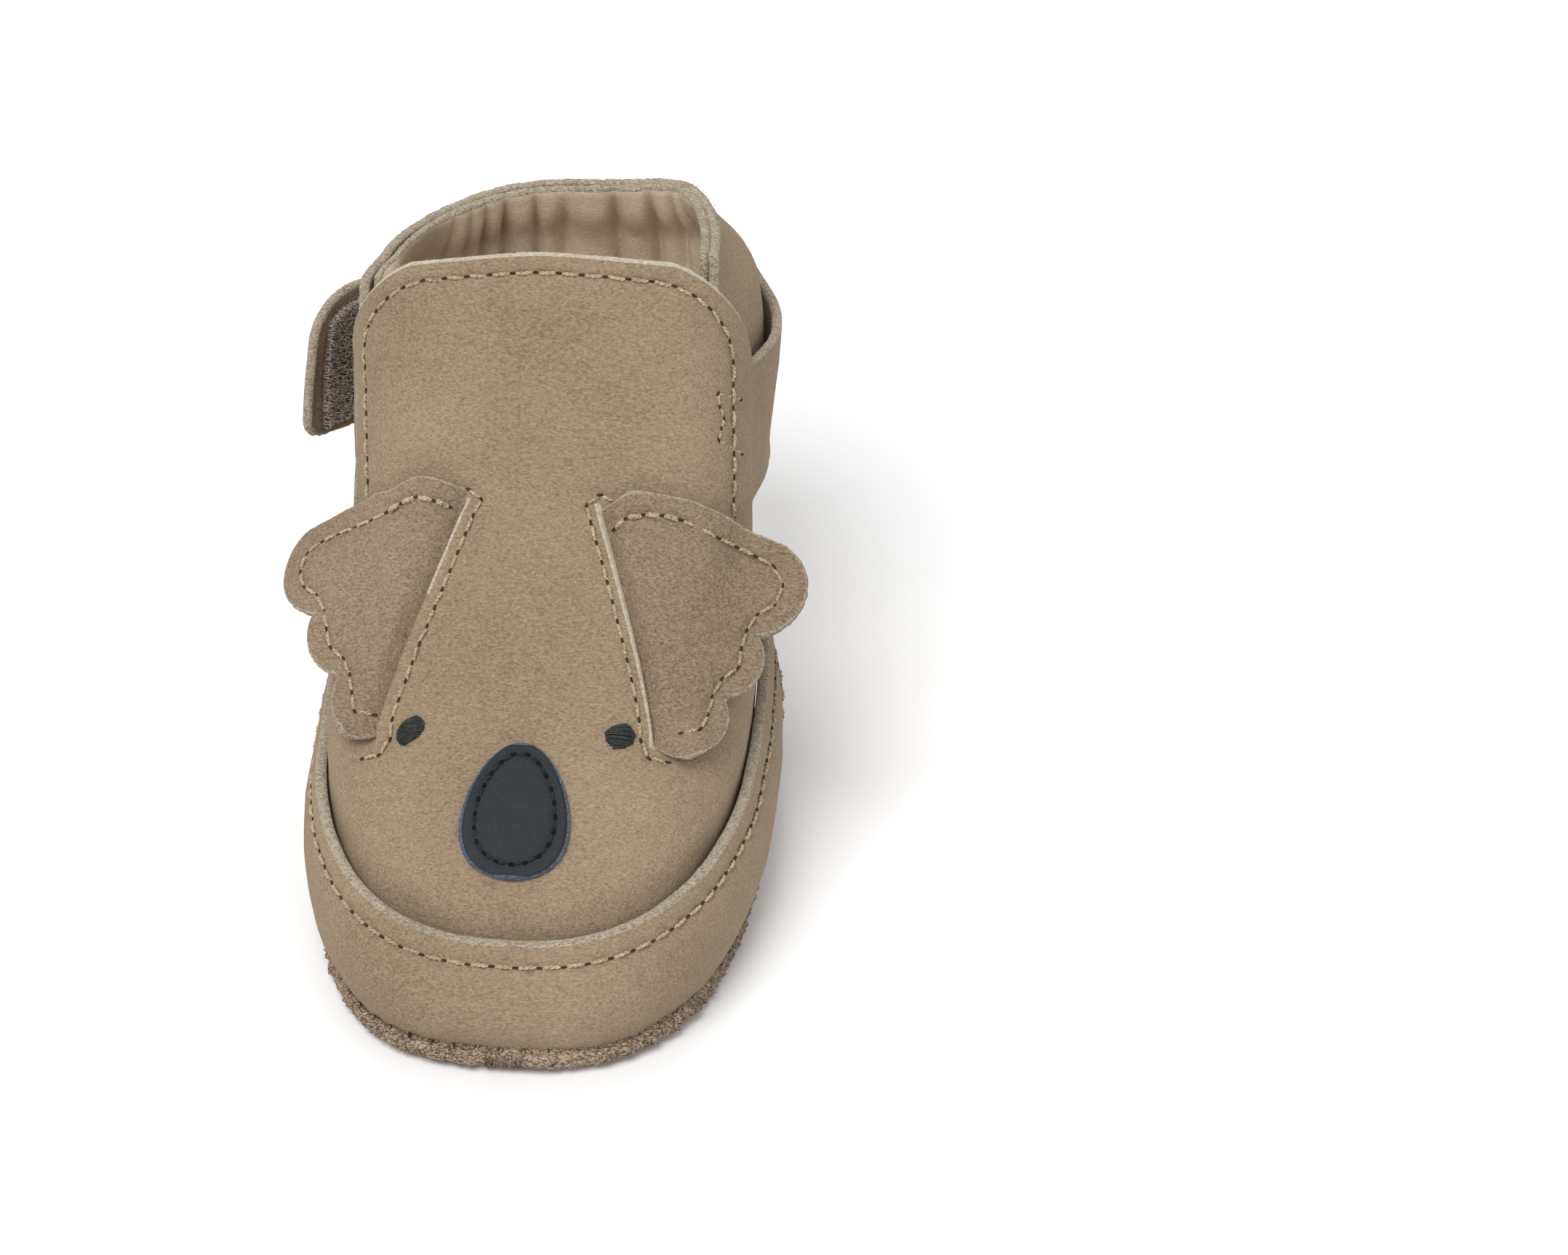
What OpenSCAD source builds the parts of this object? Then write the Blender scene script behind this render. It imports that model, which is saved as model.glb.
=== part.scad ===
// Soft leather baby bootie with an animal face on the vamp, right foot.
// Toe towards -Y, heel towards +Y, inner side of the foot towards +X, ground at z = 0.

/* [Sole] */
// Half the length of the sole outline
sole_half_l = 57.2; // [56:0.1:58]
// Half the width of the sole at its middle
sole_half_w = 31.2; // [30.6:0.1:31.8]
// How much the heel narrows and the ball widens
heel_taper = 0.10; // [0.08:0.01:0.12]
// Thickness of the suede outsole
outsole_t = 2.4; // [2:0.1:2.6]
// Thickness of the insole foam
foam_t = 2.6; // [2:0.1:3]
// Thickness of the insole sock
sock_t = 0.8; // [0.6:0.1:1]

/* [Leather and thread] */
// Thickness of the upper leather
leather_t = 1.3; // [1.1:0.05:1.4]
// Thickness of the lining
lining_t = 0.7; // [0.5:0.05:0.8]
// Diameter of the sewing thread
thread_d = 0.6; // [0.5:0.05:0.7]
// Length of one stitch, hole to hole
stitch_pitch = 3.3; // [3:0.1:4]

/* [Side wall and vamp] */
// Height of the side wall's top edge at the toe
seam_toe_z = 18; // [17:0.1:19]
// How much that edge rises towards the instep
seam_rise = 9.5; // [8:0.1:10]
// Outward bulge of the side wall
wall_bulge = 4.6; // [3.5:0.1:5]
// Height of the instep, where the tongue bends
instep_z = 58; // [57:0.1:59]

/* [Tongue] */
// Height of the tongue's top edge
tongue_top_z = 88.5; // [86:0.5:90]
// Radius of the tongue's top corners
tongue_corner_r = 13; // [10:0.5:14]
// Inset of the tongue's stitch line from its edge
edge_inset = 2.3; // [2:0.1:3]

/* [Collar] */
// Height of the collar beside the tongue
collar_front_z = 79.5; // [78:0.5:80]
// Height of the collar at the heel
collar_back_z = 73.5; // [72:0.5:75]
// Rearmost point of the collar
collar_back_y = 57; // [56:0.5:58]
// Depth of the gathers in the lining
gather_depth = 0.7; // [0.3:0.1:0.9]

/* [Face] */
// Half the width of the nose patch
nose_half_w = 7.3; // [6.5:0.1:8]
// Distance of each eye from the middle of the face
eye_offset = 14.6; // [14:0.1:15]
// Half the width of an eye
eye_half_w = 1.9; // [1.6:0.1:2.1]

/* [Ears] */
// Thickness of each ear layer
ear_layer_t = 1.0; // [0.8:0.05:1.1]
// Droop of the outer ear below level
outer_droop = 26; // [22:1:27]
// Droop of the inner ear below level
inner_droop = 8; // [6:1:10]

/* [Ankle strap] */
// Thickness of the strap
strap_t = 1.5; // [1.2:0.1:1.6]
// Angle at which the free tab stands open
tab_flare = 16; // [10:1:20]

/* [Hidden] */
layer_gap = 0.04;
body_gap = 0.35;
panel_gap = 0.15;
stitch_lift = 0.1;
insole_top = outsole_t + foam_t + sock_t + 2 * layer_gap;
wall_span = 102;
vamp_rows = 26;
vamp_cols = 22;
tongue_rows = 20;
tongue_cols = 20;
quarter_rows = 12;
quarter_cols = 48;
arch_x = 0.5;
arch_h = 0.55;
tongue_len = 33;
face_x = -2;
elastic_t = 0.4;
quarter_in = -leather_t - elastic_t - layer_gap - panel_gap;
tongue_half_arc = 29;

// ---- helpers ----

function mix(a, b, t) = a + (b - a) * t;
function clamp01(t) = min(max(t, 0), 1);
function ease(a, b, x) = let (t = clamp01((x - a) / (b - a))) t * t * (3 - 2 * t);
function spow(a, p) = sign(a) * pow(abs(a), p);
function bez2(a, b, c, t) = a * (1 - t) * (1 - t) + 2 * b * t * (1 - t) + c * t * t;
function bez3(a, b, c, d, t) =
    a * pow(1 - t, 3) + 3 * b * t * pow(1 - t, 2) + 3 * c * t * t * (1 - t) + d * pow(t, 3);
function unit(v) = v / norm(v);
function in_plane(v, m) = m == undef ? v : unit(v - m * (v * m));

// Outward normal of a grid of surface points; m keeps the first or last row in its own plane
function grid_normal(g, i, j, m0, m1) =
    let (r = len(g) - 1, c = len(g[0]) - 1)
    let (across = g[i][min(j + 1, c)] - g[i][max(j - 1, 0)])
    let (along = g[min(i + 1, r)][j] - g[max(i - 1, 0)][j])
    in_plane(unit(cross(across, along)), i == 0 ? m0 : i == r ? m1 : undef);
function offset_grid(g, d, m0, m1) =
    [for (i = [0:len(g) - 1]) [for (j = [0:len(g[0]) - 1]) g[i][j] + d * grid_normal(g, i, j, m0, m1)]];

// Closed sheet of leather between two offsets of one surface grid
module sheet(g, outer, inner, m0, m1) {
    a = offset_grid(g, outer, m0, m1);
    b = offset_grid(g, inner, m0, m1);
    solid_between(a, b);
}

module solid_between(a, b) {
    r = len(a);
    c = len(a[0]);
    n = r * c;
    pts = [for (g = [a, b]) for (row = g) for (p = row) p];
    faces = [
        for (i = [0:r - 2]) for (j = [0:c - 2]) let (k = i * c + j) each [
            [k, k + c, k + c + 1], [k, k + c + 1, k + 1],
            [n + k, n + k + 1, n + k + c + 1], [n + k, n + k + c + 1, n + k + c]],
        for (j = [0:c - 2]) let (k = j, t = (r - 1) * c + j) each [
            [k, k + 1, n + k + 1], [k, n + k + 1, n + k],
            [t + 1, t, n + t], [t + 1, n + t, n + t + 1]],
        for (i = [0:r - 2]) let (k = i * c, t = i * c + c - 1) each [
            [k + c, k, n + k], [k + c, n + k, n + k + c],
            [t, t + c, n + t + c], [t, n + t + c, n + t]]];
    polyhedron(points = pts, faces = faces, convexity = 8);
}

// Point a distance d off a surface f(along, across)
function lifted(f, a, b, d, ea, eb) =
    f(a, b) + d * unit(cross(f(a, b + eb) - f(a, b - eb), f(a + ea, b) - f(a - ea, b)));

// Points spaced evenly along a path
function run_lengths(p) =
    [for (i = 0, s = 0; i < len(p); s = s + norm(p[min(i + 1, len(p) - 1)] - p[i]), i = i + 1) [s, i]];
function path_at(p, c, d) =
    let (k = lookup(d, c), i = min(floor(k), len(p) - 2)) mix(p[i], p[i + 1], k - i);
function even_path(p, pitch) =
    let (c = run_lengths(p), total = c[len(p) - 1][0], n = max(round(total / pitch), 1))
    [for (i = [0:n]) path_at(p, c, total * i / n)];

// One straight length of thread
module thread(p, q, d) {
    v = q - p;
    translate(p)
    rotate([0, acos(v[2] / norm(v)), atan2(v[1], v[0])])
    cylinder(h = norm(v), d = d, $fn = 8);
}

// A line of stitches with a gap at every needle hole
module stitches(path, pitch = stitch_pitch, d = thread_d, gap = 0.17) {
    p = even_path(path, pitch);
    for (i = [0:len(p) - 2]) {
        thread(mix(p[i], p[i + 1], gap), mix(p[i], p[i + 1], 1 - gap), d);
    }
}

// ---- sole and side wall ----

function centre_x(y) = -0.6 - 1.8 * ease(0, 60, y);
function outline(a, grow = 0) =
    let (s = sin(a), q = mix(0.70, 0.86, ease(-0.3, 0.7, s)), y = (sole_half_l + grow) * s)
    [(sole_half_w * (1 - heel_taper * s) + grow) * spow(cos(a), q) + centre_x(y), y];
function from_toe(a) = abs(a + 90 > 180 ? a - 270 : a + 90 < -180 ? a + 450 : a + 90);
function seam_z(a) = let (t = from_toe(a) / 100) seam_toe_z + 1.5 * t + seam_rise * pow(t, 2.4);
function wall_in(a) = mix(-4.2, 0.2, ease(10, 70, from_toe(a)));
function wall_pt(a, t) =
    let (p = outline(a, bez2(-0.5, wall_bulge, wall_in(a), t)))
    [p[0], p[1], bez2(outsole_t + layer_gap, 11, seam_z(a), t)];

wall_stitch_t = 0.87;
wall_f = function (t, a) wall_pt(a, t);
function wall_out(a, t, d = stitch_lift) = lifted(wall_f, t, a, d, 0.02, 1);

module sole_shape(grow) {
    polygon([for (i = [0:89]) outline(i * 4, grow)]);
}

module outsole() {
    color([0.56, 0.45, 0.36])
    linear_extrude(outsole_t) sole_shape(0.7);
}

module insole_foam() {
    color([0.85, 0.82, 0.76])
    translate([0, 0, outsole_t + layer_gap])
    linear_extrude(foam_t) sole_shape(-6);
}

module insole_sock() {
    color([0.6, 0.5, 0.4])
    translate([0, 0, outsole_t + foam_t + 2 * layer_gap])
    linear_extrude(sock_t) sole_shape(-6);
}

wall_grid = [for (i = [0:7]) [for (j = [0:52]) wall_pt(mix(-wall_span, wall_span, j / 52) - 90, i / 7)]];

module side_wall() {
    color([0.62, 0.52, 0.42])
    sheet(wall_grid, 0, -leather_t);
}

module wall_stitching() {
    color([0.74, 0.64, 0.5])
    stitches([for (j = [0:60]) wall_out(mix(2 - wall_span, wall_span - 2, j / 60) - 90, wall_stitch_t)]);
}

module sole_stitching() {
    color([0.74, 0.64, 0.5]) {
        path = even_path([for (j = [0:90]) let (p = outline(j * 4, 0.35)) [p[0], p[1], 0]], stitch_pitch);
        for (i = [0:len(path) - 2]) {
            translate([path[i][0], path[i][1], outsole_t - 0.6])
            cylinder(h = 1.2, d = thread_d, $fn = 8);
        }
    }
}

// ---- front panel: planar arches from the toe to the top of the tongue ----

function crown(w) =
    [bez3(-51.6, -51.9, -20, -1, w), bez3(14.4, 29, 33.5, instep_z, w)];
function vamp_angle(w) = -87 + 99 * w;
function base_yz(w) = let (a = vamp_angle(w)) [outline(a, wall_in(a) - leather_t - 0.1)[1], seam_z(a) - 4];
function base_half(w) =
    let (a = vamp_angle(w), p = outline(a, wall_in(a) - leather_t - 0.1)) p[0] - centre_x(p[1]);

// Point of an arch whose chord is at b and whose crown is at c, x measured from the centre line
function arch_pt(b, c, half, x, ex, eh, shift = 0) =
    let (f = min(abs(x / half), 1), h = pow(max(1 - pow(f, 2 / ex), 0), eh / 2), y = mix(b[0], c[0], h))
    [x + centre_x(y) + shift, y, mix(b[1], c[1], h)];
function vamp_ex(w) = mix(0.85, arch_x, ease(0.25, 1, w));
function vamp_eh(w) = mix(0.85, arch_h, ease(0.25, 1, w));
function vamp_pt(w, x) = arch_pt(base_yz(w), crown(pow(w, 0.85)), base_half(w), x, vamp_ex(w), vamp_eh(w));
function arch_angle_x(w, a) = -base_half(w) * spow(cos(a), vamp_ex(w));

// Distance of each ear slit from the middle of the face, along the vamp
slit_low = 0.55;
slit_high = 0.975;
slit_low_x = 19.6;
slit_high_x = 9.6;
slit_stitch_inset = 2.2;
function slit_x(w) =
    mix(slit_low_x, slit_high_x, pow(max(w - slit_low, 0) / (slit_high - slit_low), 1.15));

cut_plane = let (d = unit([base_yz(1)[0], base_yz(1)[1]] - crown(1))) [0, -d[1], d[0]];

// Rows of the vamp; trim takes the same angle off both ends of the rows near the tongue
function vamp_grid(trim = 0) =
    [for (i = [0:vamp_rows]) let (w = i / vamp_rows, a0 = trim * ease(0.6, 0.9, w))
    [for (j = [0:vamp_cols]) vamp_pt(w, arch_angle_x(w, mix(a0, 180 - a0, j / vamp_cols)))]];
vamp_f = function (w, x) vamp_pt(w, x);
function vamp_out(w, x, d = stitch_lift) = lifted(vamp_f, w, x, d, 0.01, 0.5);

module vamp() {
    color([0.65, 0.55, 0.44])
    sheet(vamp_grid(), 0, -leather_t, undef, cut_plane);
}

module vamp_lining() {
    in = -leather_t - panel_gap;
    color([0.6, 0.5, 0.4])
    sheet(vamp_grid(16), in, in - lining_t, undef, cut_plane);
}

// The face strip's two stitched lips, where the ears come out of their slits
module slit_stitching() {
    color([0.74, 0.64, 0.5])
    for (side = [-1, 1]) {
        stitches([for (i = [0:12]) let (w = mix(slit_low - 0.03, slit_high + 0.02, i / 12))
            vamp_out(w, face_x - centre_x(0) + side * (slit_x(w) - slit_stitch_inset))]);
    }
}

// ---- tongue ----

tongue_foot = [crown(1), [6, 70], [12.5, tongue_top_z]];
tongue_base_end = [33, tongue_top_z - 9.5];
edge_angle = 14;
function tongue_crown(s) = bez2(tongue_foot[0], tongue_foot[1], tongue_foot[2], s);
function tongue_base(s) =
    [mix(base_yz(1)[0], tongue_base_end[0], ease(0, 0.8, s)), mix(base_yz(1)[1], tongue_base_end[1], s)];
function tongue_half(s) = mix(base_half(1), base_half(1) + 0.4, s);
tongue_reach = pow(cos(edge_angle), arch_x);
function tongue_pt(u, s) =
    let (half = tongue_half(s))
    arch_pt(tongue_base(s), tongue_crown(s), half, u * tongue_reach * half, arch_x, arch_h, -1.2 * s)
    + [0, 0, 1.3 * u * s];
function corner_k(s, r = tongue_corner_r) =
    let (d = max(s * tongue_len - tongue_len + r, 0))
    1 - (r - sqrt(max(r * r - d * d, 0))) / tongue_half_arc;
function col_u(j, n) = let (t = 2 * j / n - 1) spow(sin(90 * t), 0.9);
function tongue_grid(u0, u1, s1) = [for (i = [0:tongue_rows]) let (s = s1 * sin(90 * i / tongue_rows))
    [for (j = [0:tongue_cols]) body_gap * cut_plane
        + tongue_pt(mix(u0, u1, (col_u(j, tongue_cols) + 1) / 2) * corner_k(s), s)]];

module tongue() {
    color([0.65, 0.55, 0.44])
    sheet(tongue_grid(-1, 1, 0.985), 0, -leather_t, cut_plane);
}

module tongue_lining() {
    in = -leather_t - panel_gap;
    color([0.6, 0.5, 0.4])
    sheet(tongue_grid(-0.97, 0.7, 0.97), in, in - lining_t, cut_plane);
}

// Stitch line: up one side, round the corners and down the other
tongue_f = function (s, u) tongue_pt(u, s);
function tongue_line(u, s, d = stitch_lift) = body_gap * cut_plane + lifted(tongue_f, s, u, d, 0.02, 0.01);
tongue_corner_path = let (r = tongue_corner_r - edge_inset) [for (i = [0:6]) let (a = 15 * i)
    [(tongue_corner_r - r * cos(a)) / tongue_half_arc, 1 - (tongue_corner_r - r * sin(a)) / tongue_len]];
tongue_stitch_path = let (in = edge_inset / tongue_half_arc) concat(
    [for (i = [0:12]) tongue_line(in - 1, mix(0.08, 0.56, i / 12))],
    [for (p = tongue_corner_path) tongue_line(p[0] - 1, p[1])],
    [for (i = [1:9]) tongue_line(mix(-1, 1, i / 10) * (1 - tongue_corner_r / tongue_half_arc),
        1 - edge_inset / tongue_len)],
    [for (i = [6:-1:0]) let (p = tongue_corner_path[i]) tongue_line(1 - p[0], p[1])],
    [for (i = [12:-1:0]) tongue_line(1 - in, mix(0.08, 0.56, i / 12))]);

// A small box of stitches holds the strap's end
strap_s0 = 0.18;
strap_s1 = 0.62;
box_u = [0.84, 0.91];
box_s = [0.34, 0.46];
box_pitch = 2;
module tongue_stitching() {
    color([0.74, 0.64, 0.5]) {
        stitches(tongue_stitch_path);
        stitches([tongue_line(box_u[0], box_s[0]), tongue_line(box_u[0], box_s[1])], box_pitch);
        for (s = box_s) {
            stitches([tongue_line(box_u[0], s), tongue_line(box_u[1], s)], box_pitch);
        }
    }
}

strap_end_t = 0.9;
module strap_end() {
    color([0.65, 0.55, 0.44])
    sheet([for (i = [0:6]) [for (j = [0:4])
        tongue_line(mix(0.74, 0.98, j / 4), mix(strap_s0, strap_s1, i / 6), 0)]],
        -leather_t - panel_gap, -leather_t - panel_gap - strap_end_t);
}

// ---- heel quarter and collar ----

// The collar is pulled in on the inner side and flares at its outer front end
collar_front_y = 21.5;
collar_flare = 2;
collar_pull = 1.9;
collar_puff = 2.6;
function collar_pt(a) =
    let (c = cos(a), s = sin(a), flare = collar_flare * ease(0.975, 1, -c))
    [25.4 * spow(c, 0.6) - 1.9 - collar_pull * ease(0.3, 0.85, c) - flare,
     mix(collar_front_y, collar_back_y, pow(s, 0.9)) + 6.5 * c * s,
     mix(collar_front_z, collar_back_z, s) + 1.2 * c - flare];
function quarter_pt(a, t) =
    let (e = min(a, 180 - a), b = outline(a, mix(-2.8, -0.4, ease(10, 24, e))), c = collar_pt(a))
    let (hump = 4 * t * (1 - t))
    let (puff = collar_puff * ease(1, 0.87, t) * ease(0.45, 0.82, t) * ease(4, 25, e))
    [mix(b[0], c[0], t) + hump * 3.4 * ease(8, 36, e) * spow(cos(a), 0.5) + puff * cos(a),
     mix(b[1], c[1], t) + hump * (3.2 * ease(20, 90, e) * sin(a) - 10 * (1 - ease(0, 30, e)))
         + 0.7 * puff * sin(a),
     mix(outsole_t + layer_gap, c[2], t)];
function quarter_grid(a0, a1, nc, t0, t1, nr) =
    [for (i = [0:nr]) [for (j = [0:nc]) quarter_pt(mix(a0, a1, j / nc), mix(t0, t1, i / nr))]];
quarter_a0 = 9.5;
quarter_a1 = 180 - quarter_a0;
lining_cols = 76;
lining_rows = quarter_rows - 1;
lining_low = 1 / quarter_rows;

module heel_quarter() {
    color([0.65, 0.55, 0.44])
    sheet(quarter_grid(quarter_a0, quarter_a1, quarter_cols, 0, 1, quarter_rows), 0, -leather_t);
}

// The elastic lies on the two rows of the leather's own grid below the collar
module heel_elastic() {
    g = quarter_grid(quarter_a0, quarter_a1, quarter_cols, 0, 1, quarter_rows);
    cols = [quarter_cols / 4:quarter_cols * 3 / 4];
    band = function (d) let (p = offset_grid(g, d))
        [for (i = [quarter_rows - 2, quarter_rows - 1]) [for (j = cols) p[i][j]]];
    color([0.9, 0.88, 0.82])
    solid_between(band(-leather_t - layer_gap), band(-leather_t - layer_gap - elastic_t));
}

// The lining is gathered into folds by the elastic at the back of the collar
function gather(a, t) = gather_depth * ease(0.6, 0.9, t) * (1 - ease(0.94, 1, t))
    * ease(40, 65, min(a, 180 - a)) * (0.5 - 0.5 * cos(36 * (a - 90)));
module heel_lining() {
    g = quarter_grid(quarter_a0 + 1, quarter_a1 - 1, lining_cols, lining_low, 1, lining_rows);
    a = offset_grid(g, quarter_in);
    n = offset_grid(g, quarter_in - lining_t);
    b = [for (i = [0:len(g) - 1]) [for (j = [0:len(g[0]) - 1])
        let (ang = mix(quarter_a0 + 1, quarter_a1 - 1, j / lining_cols))
        let (t = mix(lining_low, 1, i / lining_rows))
        n[i][j] + unit(n[i][j] - a[i][j]) * gather(ang, t)]];
    color([0.6, 0.5, 0.4])
    solid_between(a, b);
}

module side_seam_stitching() {
    color([0.74, 0.64, 0.5])
    for (a = [wall_span - 92.5, 272.5 - wall_span]) {
        stitches([for (i = [1:8]) wall_out(a, i * 0.1)]);
    }
}

// ---- nose and eyes ----

nose_t = 1.1;
nose_low = 0.205;
nose_high = 0.508;
nose_stitch_ring = 0.74;
nose_stitch_pitch = 2.1;
// Egg-shaped patch on the vamp, wide end down; k shrinks it
function egg_pt(a, k) =
    let (w = mix(nose_low, nose_high, 0.5 - 0.5 * k * cos(a)))
    let (x = k * nose_half_w * sin(a) * (1 + 0.16 * cos(a)))
    [x, w];
module nose_patch() {
    g = [for (i = [1:17]) let (a = i * 10, e = egg_pt(a, 1))
        [for (j = [0:8]) vamp_pt(e[1], e[0] * (j / 4 - 1))]];
    color([0.22, 0.24, 0.27])
    sheet(g, nose_t, layer_gap);
}

module nose_stitching() {
    color([0.06, 0.07, 0.09])
    stitches([for (i = [0:40]) let (e = egg_pt(i * 9, nose_stitch_ring))
        vamp_out(e[1], e[0], nose_t + stitch_lift)], nose_stitch_pitch, 0.5);
}

eye_w = 0.547;
eye_half_h = 0.034;
eye_t = 0.65;
module eye(x) {
    g = [for (i = [1:9]) let (a = i * 18, r = eye_half_w * sin(a))
        [for (j = [0:4]) vamp_pt(eye_w - eye_half_h * cos(a), x - centre_x(0) + r * (j / 2 - 1))]];
    color([0.14, 0.15, 0.14])
    sheet(g, eye_t, layer_gap);
}

module outer_eye() {
    eye(face_x - eye_offset);
}

module inner_eye() {
    eye(face_x + eye_offset);
}

// ---- ears ----

// Arcs of the ear outline, each as centre, radius and angles: a top arc, the tip and the lower scallops
ear_arcs = [
    [[25, 8], 10.4, -50, 49],
    [[18.5, 20], 6.9, 49, 190],
    [[10.5, 12.3], 6, 78, 190],
    [[3.6, 5], 5.6, 88, 232]];
function ear_outline(inset) = [for (c = ear_arcs) for (i = [0:10]) let (a = mix(c[2], c[3], i / 10))
    c[0] + (c[1] - inset) * [cos(a), sin(a)]];
ear_root = 0.6;
ear_stitch_inset = 2.8;
ear_stitch_pitch = 3;

// Ends of the bend line of each ear, low end first
outer_hinge = [[-21.9, -28.8, 35.2], [-13.6, -5.6, 59.8]];
inner_hinge = [[18.3, -28.4, 36.4], [7.2, -4.6, 60.3]];

// Ear frame: x along the slit from low to high, y outwards from it, z up off the vamp
module on_hinge(hinge, side, droop) {
    a = unit(hinge[1] - hinge[0]);
    b0 = unit([side, 0, 0] - a * (a * [side, 0, 0]));
    n0 = cross(a, b0);
    n = n0[2] > 0 ? n0 : -n0;
    b = b0 * cos(droop) - n * sin(droop);
    m = n * cos(droop) + b0 * sin(droop);
    multmatrix([[a[0], b[0], m[0], hinge[0][0]], [a[1], b[1], m[1], hinge[0][1]],
                [a[2], b[2], m[2], hinge[0][2]], [0, 0, 0, 1]])
    children();
}

module ear_plate(z0) {
    translate([0, ear_root, z0])
    linear_extrude(ear_layer_t) polygon(ear_outline(0));
}

module ear_thread() {
    translate([0, ear_root, 0])
    stitches([for (p = ear_outline(ear_stitch_inset)) if (p[1] > 1.5) [p[0], p[1], 0.05]], ear_stitch_pitch);
}

module outer_ear_front() {
    color([0.62, 0.52, 0.42])
    on_hinge(outer_hinge, -1, outer_droop) ear_plate(-ear_layer_t);
}

module outer_ear_back() {
    color([0.6, 0.5, 0.4])
    on_hinge(outer_hinge, -1, outer_droop) ear_plate(-2 * ear_layer_t - layer_gap);
}

module outer_ear_stitching() {
    color([0.74, 0.64, 0.5])
    on_hinge(outer_hinge, -1, outer_droop) ear_thread();
}

module inner_ear_front() {
    color([0.62, 0.52, 0.42])
    on_hinge(inner_hinge, 1, inner_droop) ear_plate(-ear_layer_t);
}

module inner_ear_back() {
    color([0.6, 0.5, 0.4])
    on_hinge(inner_hinge, 1, inner_droop) ear_plate(-2 * ear_layer_t - layer_gap);
}

module inner_ear_stitching() {
    color([0.74, 0.64, 0.5])
    on_hinge(inner_hinge, 1, inner_droop) ear_thread();
}

// ---- ankle strap ----

strap_t0 = 0.66;
strap_t1 = 0.92;
strap_dip = 0.08;
band_a0 = 11;
tab_root_a = 146;
tab_end_a = 168;
tab_off = 2.0;
tab_root_gap = 3.4;
loop_patch_t = 0.55;
function strap_gap(a) = a < 90
    ? mix(1, panel_gap, ease(45, 90, a)) + ease(8, 30, a) * (1 - ease(45, 80, a))
    : mix(panel_gap, tab_off, ease(90, 138, a));
// The strap dips towards the tongue on the inner side
function strap_pt(a, t, d) =
    let (q = mix(strap_t0, strap_t1, t) - strap_dip * (1 - ease(30, 90, a)))
    let (g = [for (i = [-1:1]) [for (j = [-1:1]) quarter_pt(a + j, q + i * 0.02)]])
    g[1][1] + grid_normal(g, 1, 1) * d;

module ankle_strap() {
    n = 36;
    grid = function (d) [for (i = [0:4]) [for (j = [0:n]) let (a = mix(band_a0, tab_root_a, j / n))
        strap_pt(a, i / 4, strap_gap(a) + d)]];
    color([0.65, 0.55, 0.44])
    solid_between(grid(strap_t), grid(0));
}

module strap_heel_stitching() {
    color([0.74, 0.64, 0.5])
    for (a = [86, 94]) {
        stitches([for (i = [1:8]) strap_pt(a, i / 9, strap_gap(a) + strap_t + stitch_lift)]);
    }
}

hook_a0 = 152;
hook_a1 = 166;
hook_inset_t = 0.04;
hook_patch_t = 1.0;
module hook_patch() {
    t0 = strap_t0 + hook_inset_t;
    t1 = strap_t1 - hook_inset_t;
    g = [for (i = [0:4]) [for (j = [0:8]) quarter_pt(mix(hook_a0, hook_a1, j / 8), mix(t0, t1, i / 4))]];
    color([0.5, 0.42, 0.34])
    sheet(g, hook_patch_t, layer_gap);
}

tab_foot = strap_pt(tab_root_a, 0, tab_off + strap_t / 2);
tab_head = strap_pt(tab_root_a, 1, tab_off + strap_t / 2);
tab_axis = unit(tab_foot - tab_head);

// The tab is shaped as it lies when fastened, then turned open about its root
module opened() {
    translate(tab_foot) rotate(tab_flare, tab_axis) translate(-tab_foot)
    children();
}

// Half the width of the tab, as a share of the strap, narrowing over its rounded end
tab_round_share = 0.42;
tab_round_depth = 0.62;
function tab_rows(f) =
    let (d = max(f - 1 + tab_round_share, 0) / tab_round_share)
    0.5 * (1 - tab_round_depth * (1 - sqrt(max(1 - d * d, 0))));
module tab_layer(a0, a1, outer, inner, inset) {
    n = 12;
    grid = function (d) [for (i = [0:6]) [for (j = [0:n]) let (f = sin(90 * j / n), h = tab_rows(f) - inset)
        strap_pt(mix(a0, a1, f), 0.5 + h * (i / 3 - 1), d)]];
    solid_between(grid(outer), grid(inner));
}

module strap_tab() {
    color([0.65, 0.55, 0.44])
    opened() tab_layer(tab_root_a + tab_root_gap, tab_end_a, tab_off + strap_t, tab_off, 0);
}

module loop_patch() {
    outer = tab_off - panel_gap;
    color([0.55, 0.5, 0.42])
    opened() tab_layer(tab_root_a + 5, tab_end_a - 1.2, outer, outer - loop_patch_t, 0.07);
}

module tab_stitching() {
    n = 12;
    tab_a0 = tab_root_a + tab_root_gap + 0.8;
    tab_a1 = tab_end_a - 1.5;
    color([0.74, 0.64, 0.5])
    opened()
    for (side = [-1, 1]) {
        stitches([for (j = [0:n]) let (f = sin(88 * j / n), h = tab_rows(f) - 0.1)
            strap_pt(mix(tab_a0, tab_a1, f), 0.5 + side * h, tab_off + strap_t + stitch_lift)]);
    }
}

outsole();
insole_foam();
insole_sock();
side_wall();
vamp();
vamp_lining();
heel_quarter();
heel_lining();
heel_elastic();
wall_stitching();
sole_stitching();
side_seam_stitching();
nose_patch();
nose_stitching();
outer_eye();
inner_eye();
slit_stitching();
ankle_strap();
strap_heel_stitching();
hook_patch();
tongue();
tongue_lining();
tongue_stitching();
strap_end();
outer_ear_front();
outer_ear_back();
outer_ear_stitching();
inner_ear_front();
inner_ear_back();
inner_ear_stitching();
strap_tab();
loop_patch();
tab_stitching();
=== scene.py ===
import bpy, math
import numpy as np
from mathutils import Matrix, Vector, kdtree, noise


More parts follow.
